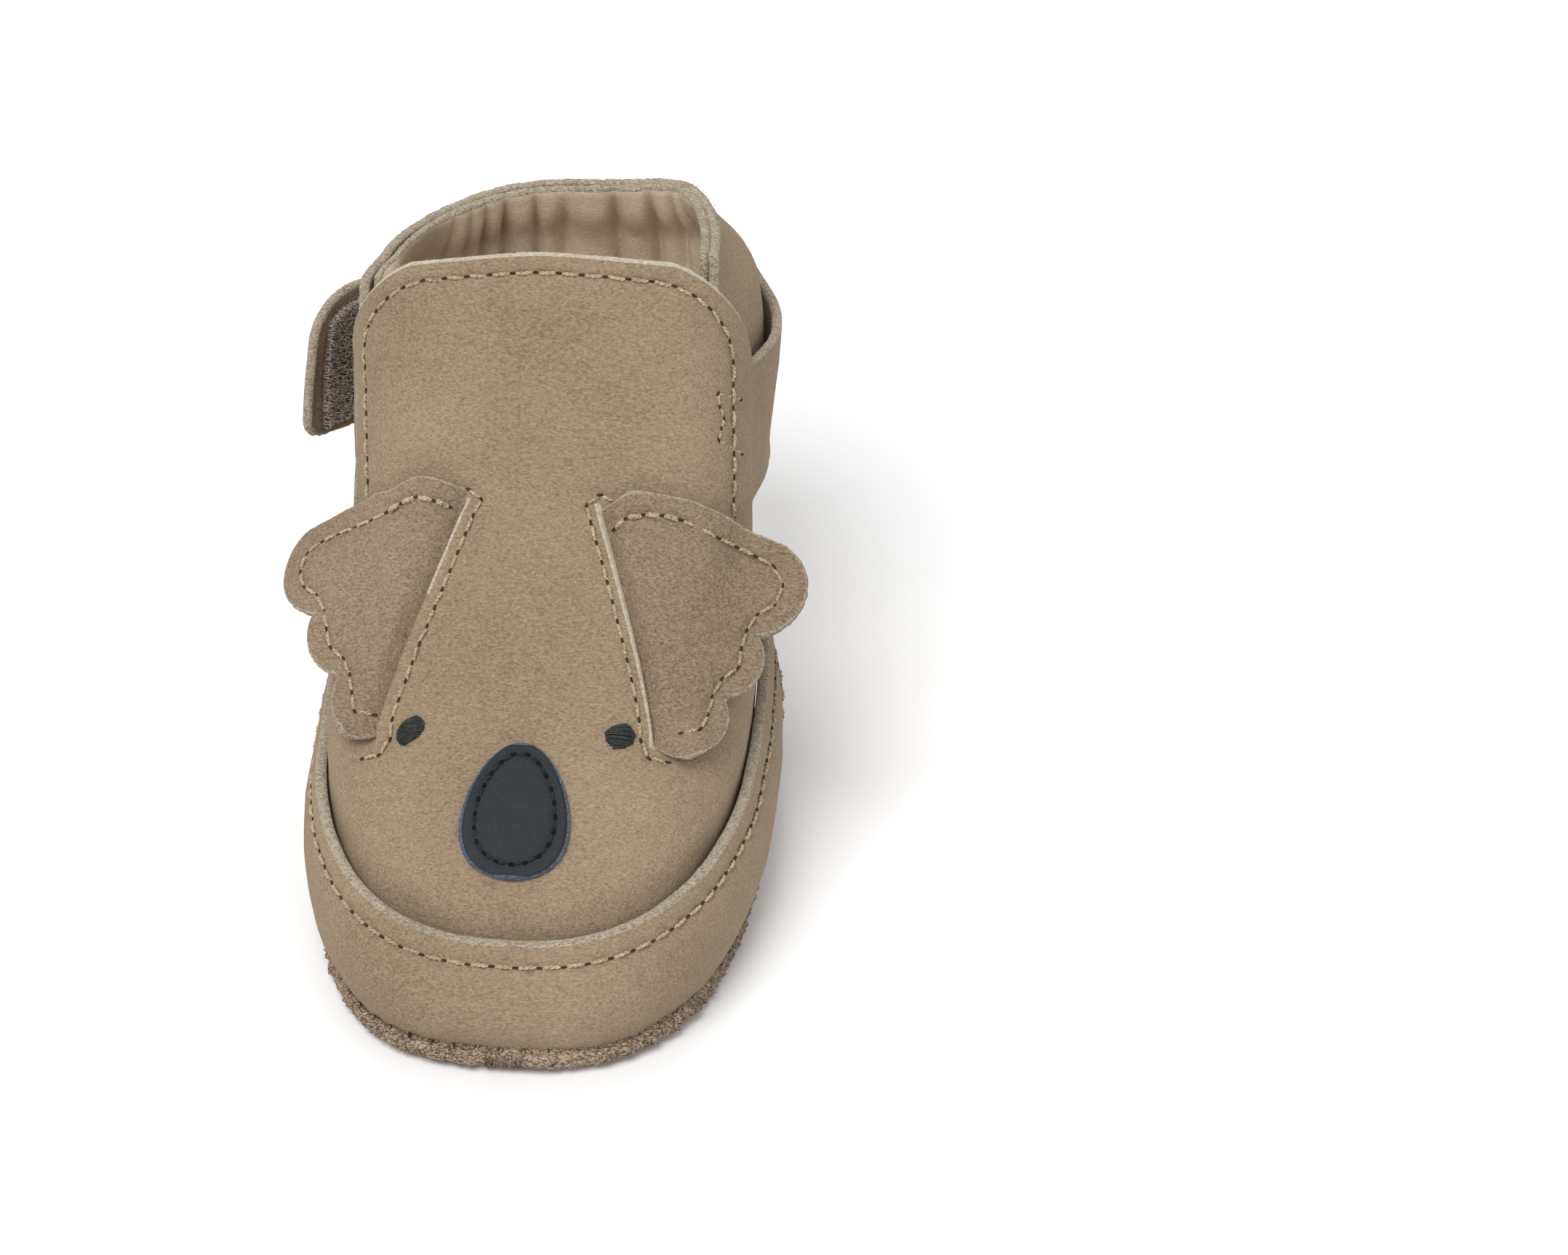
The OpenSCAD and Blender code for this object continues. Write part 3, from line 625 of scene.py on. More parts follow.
sole_marks = marks("sole_edge_notch_shades", notch_shades, [M_HOLE_SHADE], 0.6, 0.2)
fa = rng.uniform(0, 360, 5200)
fx, fy = outline(fa, rng.uniform(-0.2, 0.7, fa.size) - 2.0 * cosd(fa) ** 2)
out = np.stack([fx, fy, 0 * fx], -1) / np.hypot(fx, fy)[:, None]
root = np.stack([fx, fy, rng.uniform(0.9, 3.6, fa.size)], -1)
nap = fibres("sole_edge_nap", root, unit(out + rng.normal(0, 0.7, out.shape)), M_SUEDE, 0.4, 0.035)
on_shoe(sole_thread, "sole_stitching")
on_shoe(sole_marks, "sole_stitching")
on_shoe(nap, "outsole")

# ---- front panel: vamp and tongue in one leather


def slit_x(w):
    return mix(19.6, 9.6, (np.maximum(w - 0.55, 0) / 0.425) ** 1.15)


SLIT_LOW, SLIT_HIGH = 0.555, 0.97
NW, NO, NS = 7, 26, 44


def panel_columns(half, ex, xl, xr):
    """x across one row: wing, outer side to the slit, face strip, slit to inner side, wing."""

    def side(edge, slit):
        al = math.degrees(math.acos(min((abs(slit) / half) ** (1 / ex), 1)))
        wing = [edge * half * cosd(14 * i / NW) ** ex for i in range(NW)]
        rest = [edge * half * cosd(mix(14, max(al, 14.5), i / NO)) ** ex for i in range(NO + 1)]
        return wing + rest

    strip = [xl + 0.22] + [mix(xl + 0.6, xr - 0.95, i / (NS - 2)) for i in range(NS - 1)] + [xr - 0.5]
    return side(-1, xl) + strip + side(1, xr)[::-1]


def slits_at(w, half):
    wc = max(w, 0.52)
    hc = float(base(np.array(wc))[2])
    k = 1.0 if w >= 0.52 else half / hc
    xs = float(slit_x(np.array(wc)))
    return (FACE_X - xs) * k, (FACE_X + xs) * k


def arched(s, u):
    """The tongue's upper rows bow down towards its sides, a little more on the outer one."""
    return s - ease(0.55, 1, s) * (2.5 * (np.sqrt(u * u + 0.03) - 0.17) + 0.6 * u * u * (u < 0)) / TONGUE_LEN


rowsV, rowsT = 170, 96
W = np.linspace(0, 1, rowsV) ** 1.05
S = 0.992 * sind(np.linspace(0, 90, rowsT + 1)[1:]) ** 1.1
STRIP0, STRIP1 = NW + NO + 1, NW + NO + 1 + NS
P, LIP = [], []
for w in W:
    half = float(base(np.array(w))[2])
    xl, xr = slits_at(w, half)
    x = np.array(panel_columns(half, float(vamp_ex(w)), xl, xr))
    P.append(vamp_pt(np.full(len(x), w), x))
    lip = ease(SLIT_LOW - 0.015, SLIT_LOW + 0.02, w) * (1 - ease(SLIT_HIGH - 0.02, SLIT_HIGH + 0.012, w))
    column = np.arange(len(x))
    dist = np.minimum(np.abs(x - xl), np.abs(x - xr))
    on_strip = (column >= STRIP0) & (column <= STRIP1)
    LIP.append(lip * np.where(on_strip, 1.15 * (1 - ease(1.6, 5.5, dist)), -0.9 * bump(dist, 0, 3.0)))
xl1, xr1 = slits_at(1.0, HALF1)
for s in S:
    half = float(tongue_half(s))
    x = np.array(panel_columns(half, 0.5, xl1, xr1))
    x = np.clip(x, -REACH * half, REACH * half) * float(corner_k(s))
    P.append(tongue_x(arched(np.full(len(x), s), x / TONGUE_HALF), x))
    LIP.append(np.zeros(len(x)))
P, LIP = np.array(P), np.array(LIP)
R, C = P.shape[:2]
seam = seam_z(-87 + 99 * W)[:, None]
LIP[:rowsV] -= 0.45 * (1 - ease(0.5, 4.0, P[:rowsV, :, 2] - seam))
Nrm = grid_normals(P)
Nrm = unit(np.concatenate([Nrm[:, :1], Nrm[:, 2:] + Nrm[:, :-2] + Nrm[:, 1:-1], Nrm[:, -1:]], 1))


def slit_line(side, inset=2.1):
    """Stitch line along one lip, with a short hook round each end of the slit, on the smooth surface."""
    w = np.linspace(0.992, 0.548, 70)[2:]
    top = np.array([[0.985, 2.6], [0.995, 1.2], [0.999, -0.6]])
    low = np.array([[0.536, -1.9], [0.526, -0.6], [0.530, 0.8], [0.538, 1.9]])
    w_all = np.concatenate([top[:, 0], w, low[:, 0]])
    x_all = slit_x(w_all) + np.concatenate([top[:, 1], np.full(w.size, -inset), low[:, 1]])
    return run_on(vamp_pt, w_all, FACE_X + side * x_all, 0.0, 0.01, 0.5)


def rounded_line(inset, low=0.06):
    """Stitch line up one side of the tongue, round its corners and down the other, as (u, s)."""
    r = CORNER - inset
    up = np.linspace(low, 1 - CORNER / TONGUE_LEN, 40)
    a = np.radians(np.linspace(0, 90, 20))
    cu = -1 + (inset + r - r * np.cos(a)) / TONGUE_HALF
    cs = 1 - (CORNER - r * np.sin(a)) / TONGUE_LEN
    left = np.stack([np.concatenate([np.full(40, cu[0]), cu]), np.concatenate([up, cs])], -1)
    mid = np.stack([np.linspace(cu[-1], -cu[-1], 40)[1:-1], np.full(38, cs[-1])], -1)
    return np.concatenate([left, mid, left[::-1] * np.array([-1, 1])])


us = rounded_line(2.3)
us[:, 1] = arched(us[:, 1], us[:, 0])
tongue_line = run_on(tongue_pt, us[:, 1], us[:, 0], 0.0, 0.02, 0.01)
box_us = [[0.955, 0.5], [0.85, 0.5], [0.85, 0.47], [0.885, 0.4], [0.85, 0.36], [0.85, 0.33], [0.955, 0.33]]
box_us = np.array(box_us)
box_line = run_on(tongue_pt, box_us[:, 1], box_us[:, 0], 0.0, 0.02, 0.01)
slit_lines = [slit_line(-1), slit_line(1)]

step_x = np.linalg.norm(np.diff(P, axis=1), axis=-1) > 0.02
used = np.concatenate([step_x[:, : C // 2], np.ones((R, 1), bool), step_x[:, C // 2 :]], 1)
snap_panel, panel_tree = snapper(P, Nrm, used)
PANEL_N = Nrm.reshape(-1, 3)
relief = LIP + 0.34 * fbm(P, 20, 9.3, 2) + 0.06 * fbm(P, 3.5, 2.2, 2)
shift = flat_shift = (Nrm * relief[..., None]).reshape(-1, 3)


def on_panel(p, lift=0.0):
    return snap_panel(p, shift, lift)


panel_lines = [on_panel(tongue_line[0]), on_panel(slit_lines[0][0]), on_panel(slit_lines[1][0])]
Q = P + shift.reshape(P.shape)
press = np.maximum(groove(Q, panel_lines, 0.38, 0.7), groove(Q, [on_panel(box_line[0])], 0.2, 0.5, 2.0))
shift = shift - (Nrm * press[..., None]).reshape(-1, 3)
Q = P + shift.reshape(P.shape)
keep = np.ones((R - 1, C - 1), bool)
keep[rowsV - 1 :, :NW] = keep[rowsV - 1 :, -NW:] = False
# the lips' faces show the cut edge, in the paler copy of the raw edge colour with painted light
lips = np.zeros((R - 1, C - 1), int)
step = (W[:-1] > SLIT_LOW - 0.012) & (W[:-1] < SLIT_HIGH + 0.008)
for column in (STRIP0 - 1, STRIP1, STRIP1 - 1):
    lips[: rowsV - 1][step, column] = 1
lips[: rowsV - 1][step & (W[:-1] > 0.8), STRIP0] = 1
panel = shell(
    "front_panel_leather", Q, Nrm, 0, -LEATHER, [M_UPPER, M_EDGE_PAINTED_LIGHT, M_FLESH],
    grid_faces(R, C, keep=keep), 4, 0.6, 0.1, lips[keep],
)
CUT = np.array([0, 0.932, 0.3625])
HINGE = np.array([-0.6, -1.0, 58.0])
TONGUE_BEND = (HINGE - CUT * 2.5) * MM, (HINGE + CUT * 5.0) * MM
bending(panel, "tongue", *TONGUE_BEND, "upper_leather", "vamp", "tongue")

pl = P[::3, ::3]
kl = np.ones((pl.shape[0] - 1, pl.shape[1] - 1), bool)
cut_row = int(np.searchsorted(np.arange(0, R, 3), rowsV - 1))
kl[cut_row:, :3] = kl[cut_row:, -3:] = kl[-1:] = False
low = -LEATHER - 0.05
faces = grid_faces(*pl.shape[:2], keep=kl)
mats = [M_LINING_PAINTED_LIGHT, M_EDGE, M_LINING_PAINTED_LIGHT]
lining = shell("front_panel_lining", pl, grid_normals(pl), low, low - LINING, mats, faces, fuzz=0.08)
bending(lining, "tongue", *TONGUE_BEND, "lining_leather", "vamp_lining", "tongue_lining")

made = sew("tongue_edge_stitches", [(on_panel(tongue_line[0], 0.08), tongue_line[1])], THREAD)
box = [(on_panel(box_line[0], 0.05), box_line[1])]
for ob in made + sew("strap_box_stitches", box, THREAD, pitch=1.9, r=0.14, arch=0.25):
    bending(ob, "tongue", *TONGUE_BEND, "thread", "tongue_stitching")
for ob in sew("slit_stitches", [(on_panel(p, 0.08), n) for p, n in slit_lines], THREAD, pitch=2.9):
    bending(ob, "tongue", *TONGUE_BEND, "thread", "slit_stitching")

fu = rng.uniform(-0.72, 0.72, 420)
fs = arched(np.full(fu.size, 0.99), fu)
top_p = tongue_pt(fs, fu)
up = unit(top_p - tongue_pt(fs - 0.02, fu))
top_n = normal_at(tongue_pt, fs, fu, 0.02, 0.01)
root = top_p - top_n * rng.uniform(0.0, 1.4, fu.size)[:, None]
fuzz = fibres("tongue_edge_nap", root, unit(up + rng.normal(0, 0.45, up.shape)), M_EDGE_PAINTED_LIGHT, 0.42, 0.028)
bending(fuzz, "tongue", *TONGUE_BEND, "upper_leather", "tongue")

# ---- nose and eyes

NOSE_LOW, NOSE_HIGH, NOSE_HALF = 0.205, 0.508, 7.3


def egg(a, tall, wide, middle=0.5):
    """An egg-shaped ring on the vamp, tall and wide as shares of the nose."""
    w = mix(NOSE_LOW, NOSE_HIGH, middle - 0.5 * tall * cosd(a))
    return w, wide * NOSE_HALF * sind(a) * (1 + 0.16 * cosd(a))


a = np.linspace(2.5, 177.5, 60)
w, x = egg(a, 1.0, 1.0)
u = sind(np.linspace(-90, 90, 41))
Pn = vamp_pt(np.repeat(w[:, None], 41, 1), x[:, None] * u[None, :])
Nn = grid_normals(Pn)
Pn = on_panel(Pn)
npts, nn = run_on(vamp_pt, *egg(np.linspace(0, 360, 200), 0.82, 0.745, 0.517), 0.0, 0.01, 0.5)
npts = on_panel(npts, 1.2)
edge_r = np.maximum(np.abs(u)[None, :], np.abs(cosd(a))[:, None])
top = 1.25 + 0.06 * fbm(Pn, 5, 4.4, 2) - groove(Pn + Nn * 1.2, [npts], 0.32, 0.6, 2.1)
top = top - 0.4 * ease(0.93, 1, edge_r)
nose = shell(
    "nose_patch_leather", Pn, Nn, top, 0.05, [M_NOSE, M_NOSE_EDGE, M_NOSE], rim=4, fuzz=0.16, bulge=0.5,
    face_mat=(edge_r[:-1, :-1] > 0.957).astype(int).reshape(-1),
)
on_shoe(nose, "nose_patch")
dark = dict(pitch=2.1, r=0.16, arch=0.3, cover=0.6, mark=(0.56, 0.34))
for ob in sew("nose_stitches", [(npts - nn * 0.2, nn)], [M_DARK_THREAD, M_DARK_HOLE_SHADE], **dark):
    on_shoe(ob, "nose_stitching")

EYE_X, EYE_W, EYE_HALF, EYE_ROWS = 14.6, 0.549, 1.78, 12
g = np.linspace(-1, 1, 9)
for node, side in (("outer_eye", -1), ("inner_eye", 1)):
    rings = []
    for k in range(EYE_ROWS):
        f = (k + 0.5) / EYE_ROWS * 2 - 1
        w = EYE_W + 0.0225 * f + rng.normal(0, 0.0005) + 0.004 * g
        half = EYE_HALF * math.sqrt(1 - f * f) + 0.08
        x = FACE_X + side * EYE_X + half * g * (1 + rng.normal(0, 0.04))
        high = 0.12 + 0.52 * np.sqrt(np.maximum(1 - g**2, 0)) * math.sqrt(1 - 0.75 * f * f)
        c = pushed(on_panel(vamp_pt(w, x)), normal_at(vamp_pt, w, x, 0.01, 0.5), high)
        rings.append(tube_rings(c, 0.18, 7))
    on_shoe(tubes(node + "_embroidery", rings, [M_EYE]), node)

# ---- ears

EAR_MID, EAR_EASING, EAR_LAYER = 16, 36, 1.0
# centre along the slit and outwards, radius, first and last angle
EAR_ARCS = [(25, 8, 10.4, -50, 49), (18.5, 20, 6.9, 49, 190), (10.5, 12.3, 6, 78, 190), (3.6, 5, 5.6, 88, 232)]


def ear_outline(inset, rota, da, db, low, close):
    """Outline (along the slit, outwards from it), turned and shifted into the slit, cut off below low."""
    p = []
    for ca, cb, r, a0, a1 in EAR_ARCS:
        a = np.linspace(a0, a1, 40)
        p.append(np.stack([ca + (r - inset) * cosd(a) - EAR_MID, cb + (r - inset) * sind(a)], -1))
    x, y = np.concatenate(p).T
    c, s = cosd(rota), sind(rota)
    p = np.stack([x * c - y * s + EAR_MID + da, x * s + y * c + db], -1)
    p = p[p[:, 1] > low]
    keep = [p[0]]
    for q in p[1:]:
        if np.linalg.norm(q - keep[-1]) > 0.05:
            keep.append(q)
    foot = [[keep[-1][0] + 1.0, low - 0.4], [keep[0][0] - 1.0, low - 0.4], keep[0]]
    return np.array(keep + foot if close else keep)


def ear_frame(h0, h1, side, droop):
    """Directions along the hinge from h0 to h1, outwards in the drooping ear, and off its face."""
    a = unit(h1 - h0)
    b0 = unit(np.array([side, 0, 0.0]) - a * a[0] * side)
    n0 = np.cross(a, b0)
    n0 = n0 if n0[2] > 0 else -n0
    return a, b0 * cosd(droop) - n0 * sind(droop), n0 * cosd(droop) + b0 * sind(droop)


def clear_panel(q, gap):
    """Points that come closer to the front panel than the gap are eased out along its normal."""
    out = q.copy().reshape(-1, 3)
    gap = np.asarray(gap).reshape(-1)
    for k, p in enumerate(out):
        if gap[k] <= 0:
            continue
        co, i, _ = panel_tree.find(p)
        n = PANEL_N[i]
        rel = p - np.array(co) - flat_shift[i]
        high = float(np.dot(rel, n))
        aside = float(np.linalg.norm(rel - high * n))
        short = gap[k] - high
        if short > -1.5 and aside < 2.4:
            out[k] = p + n * 0.5 * (short + math.sqrt(short * short + 0.2)) * float(1 - ease(0.8, 2.4, aside))
    return out.reshape(q.shape)


def make_ear(name, h0, h1, side, fit, seed):
    """An ear of two leathers: fit is droop, turn, shift along and outwards, curl, dent, fill."""
    droop, rota, da, db, curl, dent, fill = fit
    A, B, Nn = ear_frame(h0, h1, side, droop)
    length = np.linalg.norm(h1 - h0)

    def pos(ab):
        a, b = ab[..., 0], ab[..., 1]
        t = a / length
        w = mix(SLIT_LOW + 0.003, SLIT_HIGH - 0.002, np.clip(t, 0, 1))
        x = FACE_X + side * (slit_x(w) + np.clip(b, -1.6, 3))
        root = lifted(vamp_pt, w, x, mix(-0.35, 2.2, ease(-0.8, 3.2, b)), 0.01, 0.5)
        root = root + A * (np.maximum(a - length, 0) + np.minimum(a, 0))[..., None]
        ends = np.abs(2 * t - 1)
        z = -curl * b**2 / 100 + 1.7 * bump(b, 4.5, 4.0) * ease(0.72, 1.05, ends) * ease(0, 2.5, b)
        z = z - 0.9 * bump(b, 6, 5.0) * (1 - np.minimum(ends, 1) ** 2)
        z = z + 0.5 * np.sin(a / 9.0 + seed) * ease(4, 20, b)
        z = z + 0.3 * np.sin(b / 4.3 + a / 6.0 + 2 * seed) * ease(2, 10, b)
        q = h0 + a[..., None] * A + (b + 0.6)[..., None] * B + z[..., None] * Nn
        return mix(q, root, bump(np.maximum(b, 0), 0, 3.0)[..., None])

    def trim(p):
        """Fills the ear's upper edge next to the slit and dents it further out."""
        more = fill * (1 - ease(-1, 6.5, p[:, 1])) - dent * bump(p[:, 1], 8.5, 4.5)
        return p + np.outer(more * ease(20, 30, p[:, 0]), [1.0, 0])

    line = trim(ear_outline(0, rota, da, db, -0.9, True))
    ring, _ = resample(np.concatenate([line, 0 * line[:, :1]], 1), 0.33)
    ring = ring[:-1, :2]
    c0 = np.array([17.0, 7.0])
    rr = 1 - (1 - np.linspace(0.04, 1, 36)) ** 1.25
    ab = c0 + rr[:, None, None] * (ring - c0)[None]
    V = pos(ab)
    off = clear_panel(V, 2.35 * ease(0.8, 4.5, ab[..., 1])) - V
    for _ in range(EAR_EASING):
        off = 0.5 * off + 0.25 * (np.roll(off, 1, 1) + np.roll(off, -1, 1))
        off[1:-1] = 0.5 * off[1:-1] + 0.25 * (off[2:] + off[:-2])
        off[-1] = 0.5 * (off[-1] + off[-2])
    V = V + off
    N = grid_normals(V, wrap=True)
    for _ in range(3):
        N[1:-1] = N[1:-1] + 0.5 * (N[2:] + N[:-2])
        N = unit(N + 0.5 * (np.roll(N, 1, 1) + np.roll(N, -1, 1)))
    rows, cols = V.shape[:2]
    way = -1 if np.dot(N[5, 0], Nn) < 0 else 1
    N = N * way
    faces = grid_faces(rows, cols, wrap=True)[:, ::way].tolist() + [list(range(cols))[:: -way]]
    st = trim(ear_outline(2.8, rota, da, db, 0.9, False))
    flat_ab, flat_off = ab.reshape(-1, 2), off.reshape(-1, 3)
    sp = pos(st) + np.stack([flat_off[np.argmin(((flat_ab - q) ** 2).sum(1))] for q in st])
    sn = N[-6, [np.argmin(np.linalg.norm(ring - q, axis=1)) for q in st]]
    d = 0.10 * fbm(V, 5, seed * 3, 3) - groove(V, [sp], 0.34, 0.7, 3.0)
    mid = h0 + 0.5 * length * A
    start, end = (mid - 0.2 * B) * MM, (mid + 4.5 * B) * MM
    mats = [M_EAR, M_EDGE, M_FLESH]
    front = shell(name + "_front_leather", pushed(V, N, d), N, 0.0, -EAR_LAYER, mats, faces, 4, 0.7, 0.14)
    low = -EAR_LAYER - 0.05
    back = shell(name + "_back_leather", V, N, low, low - EAR_LAYER, mats[::-1], faces, 3, 0.7, 0.14)
    out = [(front, "_front", "upper_leather"), (back, "_back", "lining_leather")]
    # the first stitches by the top of the slit are sewn twice, so thicker
    split = int(np.searchsorted(path_lengths(sp), 10.5))
    thick = (sp[: split + 1] + sn[: split + 1] * 0.02, sn[: split + 1])
    thin = (sp[split:] - sn[split:] * 0.2, sn[split:])
    made = sew(name + "_stitches", [thin], THREAD, pitch=3.0, r=0.17)
    made += sew(name + "_double_stitches", [thick], THREAD, pitch=2.9, r=0.27, arch=0.3)
    for ob, tail, slot in out + [(ob, "_stitching", "thread") for ob in made]:
        bending(ob, name, start, end, slot, name + tail)


OUTER_HINGE = np.array([[-21.9, -28.8, 35.2], [-13.6, -4.2, 58.3]])
INNER_HINGE = np.array([[18.3, -28.4, 36.4], [7.2, -3.6, 59.2]])
make_ear("outer_ear", *OUTER_HINGE, -1, (21.3, -3.1, 1.9, -3.4, 0.55, 2.9, 0.0), 0.4)
make_ear("inner_ear", *INNER_HINGE, 1, (33.0, -5.0, -1.1, -1.4, -1.05, 0.4, 2.6), 1.9)

# ---- heel quarter, collar and lining

QT, QA = np.meshgrid(np.linspace(0, 1, 70), np.linspace(7.5, 177.0, 424), indexing="ij")
P = quarter_pt(QT, QA)
Nrm = grid_normals(P)
round_a = np.linspace(0, 180, 721)
round_s = path_lengths(quarter_pt(0.9 + 0 * round_a, round_a))


def quarter_sway(p):
    return 0.5 * fbm(p, 22, 3.3, 2)


def along_collar(a):
    return np.interp(a, round_a, round_s)


crease = along_collar(np.array([50, 57, 65, 76, 85.7, 90.8, 96, 105.5, 115, 122, 129.0]))
crease_s = np.array([0.5, 0.6, 0.65, 0.95, 1.0, 0.7, 0.85, 1.0, 0.75, 0.5, 0.45])
crease_w = np.array([1.2, 1.1, 1.3, 1.0, 1.2, 1.5, 1.0, 1.2, 1.1, 1.3, 1.1])
pleat = 0.5 * (crease[1:] + crease[:-1])


def creases(s, t, where, deep, wide, lean):
    """Soft ridges at places s along the collar, wandering a little with t."""
    ridges = zip(where, deep, wide)
    return sum(k * np.exp(-(np.abs((s - c - lean * np.sin(5 * t + c)) / w) ** 1.5)) for c, k, w in ridges)


QS = along_collar(QA)
folds = creases(QS, QT, pleat, crease_s[1:], 1.15 * crease_w[1:], 1.0)
puff = ease(0.60, 0.84, QT) * (1 - 0.8 * ease(0.93, 1.0, QT))
disp = quarter_sway(P) + 0.07 * fbm(P, 4, 6.6, 2) + 0.2 * bump(QT, 0.985, 0.012)
disp += puff * (0.25 * ease(46, 56, QA) * (1 - ease(124, 134, QA)) - 0.75 * folds)
rise = ease(0.93, 1, QT)
Nq = level_normals(Nrm, rise)
low = -LEATHER - 0.2 * rise
quarter = shell("heel_quarter_leather", pushed(P, Nrm, disp), Nq, 0, low, HIDE, None, 4, 0.7, 0.16)
on_shoe(quarter, "heel_quarter")

LT, LA = np.meshgrid(np.linspace(0.06, 1, 64), np.linspace(8.5, 175.5, 424), indexing="ij")
P = quarter_pt(LT, LA)
Nrm = grid_normals(P)
sink = quarter_sway(P)
wide = ease(0.50, 0.84, LT) * (1 - 0.75 * ease(0.94, 1.0, LT))
folds = creases(along_collar(LA), LT, crease, crease_s, crease_w, 0.8)
LINING_BACK = -1.85
inner = wide * (2.1 * np.minimum(folds, 1.0) - 1.9 * ease(40, 56, LA) * (1 - ease(124, 140, LA)))
inner = np.minimum(inner - LINING, -0.35) + LINING_BACK + sink + 0.10 * fbm(P, 4, 8.8, 2)
rise = ease(0.93, 1, LT)
outer = LINING_BACK + 0.35 * rise + sink * (1 - ease(0.9, 1, LT))
inner = inner - 0.25 * rise
mats = [M_FLESH, M_EDGE, M_LINING_PAINTED_LIGHT]
Nl = level_normals(Nrm, rise)
heel_lining = shell("heel_lining_leather", P, Nl, outer, inner, mats, fuzz=0.16, bulge=0.7)
on_shoe(heel_lining, "heel_lining")

fa = rng.uniform(8, 175, 1500)
root = np.stack(collar_pt(fa), -1)
outwards = unit(root * np.array([1, 1, 0]) - np.array([0, 30, 0]))
root = pushed(root, outwards, rng.uniform(-3.0, 0.3, fa.size))
up = unit(rng.normal(0, 0.55, root.shape) + np.array([0, 0, 1.0]))
fuzz = fibres("collar_edge_nap", root, up, M_EDGE_PAINTED_LIGHT, 0.42, 0.028)
on_shoe(fuzz, "heel_quarter")

# ---- ankle strap and tab

STRAP_T, TAB_OFF = 1.5, 2.0
STRAP_BAND = (0.66, 0.92)  # heights up the quarter
TAB_ROOT, TAB_TIP, TAB_TURN = 146.0, 162.3, 26
FOOT = np.array([-31.8552, 38.4371, 50.2013])
TAB_AXIS = np.array([-0.120342, -0.105793, -0.987079])


def strap_gap(a):
    near = mix(0.3, 0.1, ease(45, 90, a)) + 0.3 * ease(8, 30, a) * (1 - ease(45, 80, a))
    return np.where(a < 90, near, mix(0.1, TAB_OFF, ease(90, 138, a)))


def strap_pt(t, a, d):
    """A point of the strap: t 0 to 1 across it, a round the heel, d off the quarter."""
    height = mix(*STRAP_BAND, t) - 0.13 * (1 - ease(30, 90, a)) - 0.06 * ease(112, TAB_ROOT, a)
    return lifted(quarter_pt, height, a, d, 0.02, 1.0)


def strap_mid(t, a):
    return strap_pt(t, a, strap_gap(a) + STRAP_T / 2)


def turn(p, axis, centre, deg):
    """Rodrigues turn of points by an angle that may differ from point to point."""
    v = p - centre
    c, s = cosd(deg)[..., None], sind(deg)[..., None]
    return centre + v * c + np.cross(axis, v) * s + axis * ((v * axis).sum(-1)[..., None]) * (1 - c)


# inner half: out from under the tongue, round the ankle, to the middle of the heel
n_t = 26
tt = np.linspace(0, 1, n_t)
band = strap_mid(*np.meshgrid(tt, np.linspace(15, 90, 190), indexing="ij"))
s_row = mix(0.16, 0.60, tt)
keys = [lifted(tongue_pt, s_row, np.full(n_t, u), -2.35, 0.02, 0.01) for u in (0.70, 0.84, 0.955)]
keys += [mix(keys[-1], band[:, 0], 0.55) + np.array([0.35, -0.4, 0.0]), band[:, 0], band[:, 4]]
K = np.stack(keys, 1)
chord = path_lengths(K[n_t // 2])


def catmull(K, chord, n):
    """Columns of points on a smooth curve through all but the last of the columns of K."""
    out = []
    tang = np.gradient(K, chord, axis=1)
    for v in np.linspace(chord[0], chord[-2], n):
        i = min(int(np.searchsorted(chord, v, side="right")) - 1, len(chord) - 2)
        h = chord[i + 1] - chord[i]
        u = (v - chord[i]) / h
        p = (2 * u**3 - 3 * u**2 + 1) * K[:, i] + (3 * u**2 - 2 * u**3) * K[:, i + 1]
        out.append(p + h * ((u**3 - 2 * u**2 + u) * tang[:, i] + (u**3 - u**2) * tang[:, i + 1]))
    return np.stack(out, 1)


P = np.concatenate([catmull(K, chord, 46)[:, :-1], band], 1)
Nrm = grid_normals(P)
run = np.linspace(0, 1, P.shape[1])[None, :]
disp = 0.22 * fbm(P, 14, 5.1, 2) * ease(0, 0.1, run) + 0.05 * fbm(P, 3, 1.1, 2)
disp += 0.5 * np.abs(2 * tt[:, None] - 1) ** 3 * ease(0.12, 0.3, run) * (1 - ease(0.8, 0.95, run))
half = STRAP_T / 2
inner_strap = shell("strap_inner_half", pushed(P, Nrm, disp), Nrm, half, -half, HIDE, fuzz=0.16, bulge=0.7)
ends = (0.024, 0.026, 0.066), (0.024, 0.013, 0.066)
bending(inner_strap, "tongue", *ends, "upper_leather", "ankle_strap", "strap_end")


# outer half: from the middle of the heel to the open fastening tab
def tab_half(f, v):
    """Half width of the tab; its upper corner is rounded far more than its lower one."""
    v = np.asarray(v)
    share, depth = np.where(v > 0, 0.62, 0.3), np.where(v > 0, 0.5, 0.34)
    d = np.maximum(f - 1 + share, 0) / share
    low = 0.08 * ease(0, 0.3, f) * ease(1, 0.3, f) * (v < 0)
    return 0.5 * (1 - depth * (1 - np.sqrt(np.maximum(1 - d * d, 0)))) + low


def tab_frame(f, v):
    """f 0..1 from the root to the tip, v -1..1 across."""
    p = strap_pt(0.5 + tab_half(f, v) * v, mix(TAB_ROOT, TAB_TIP, f), TAB_OFF + STRAP_T / 2)
    return turn(p, TAB_AXIS, FOOT, TAB_TURN * ease(-0.08, 0.35, f))


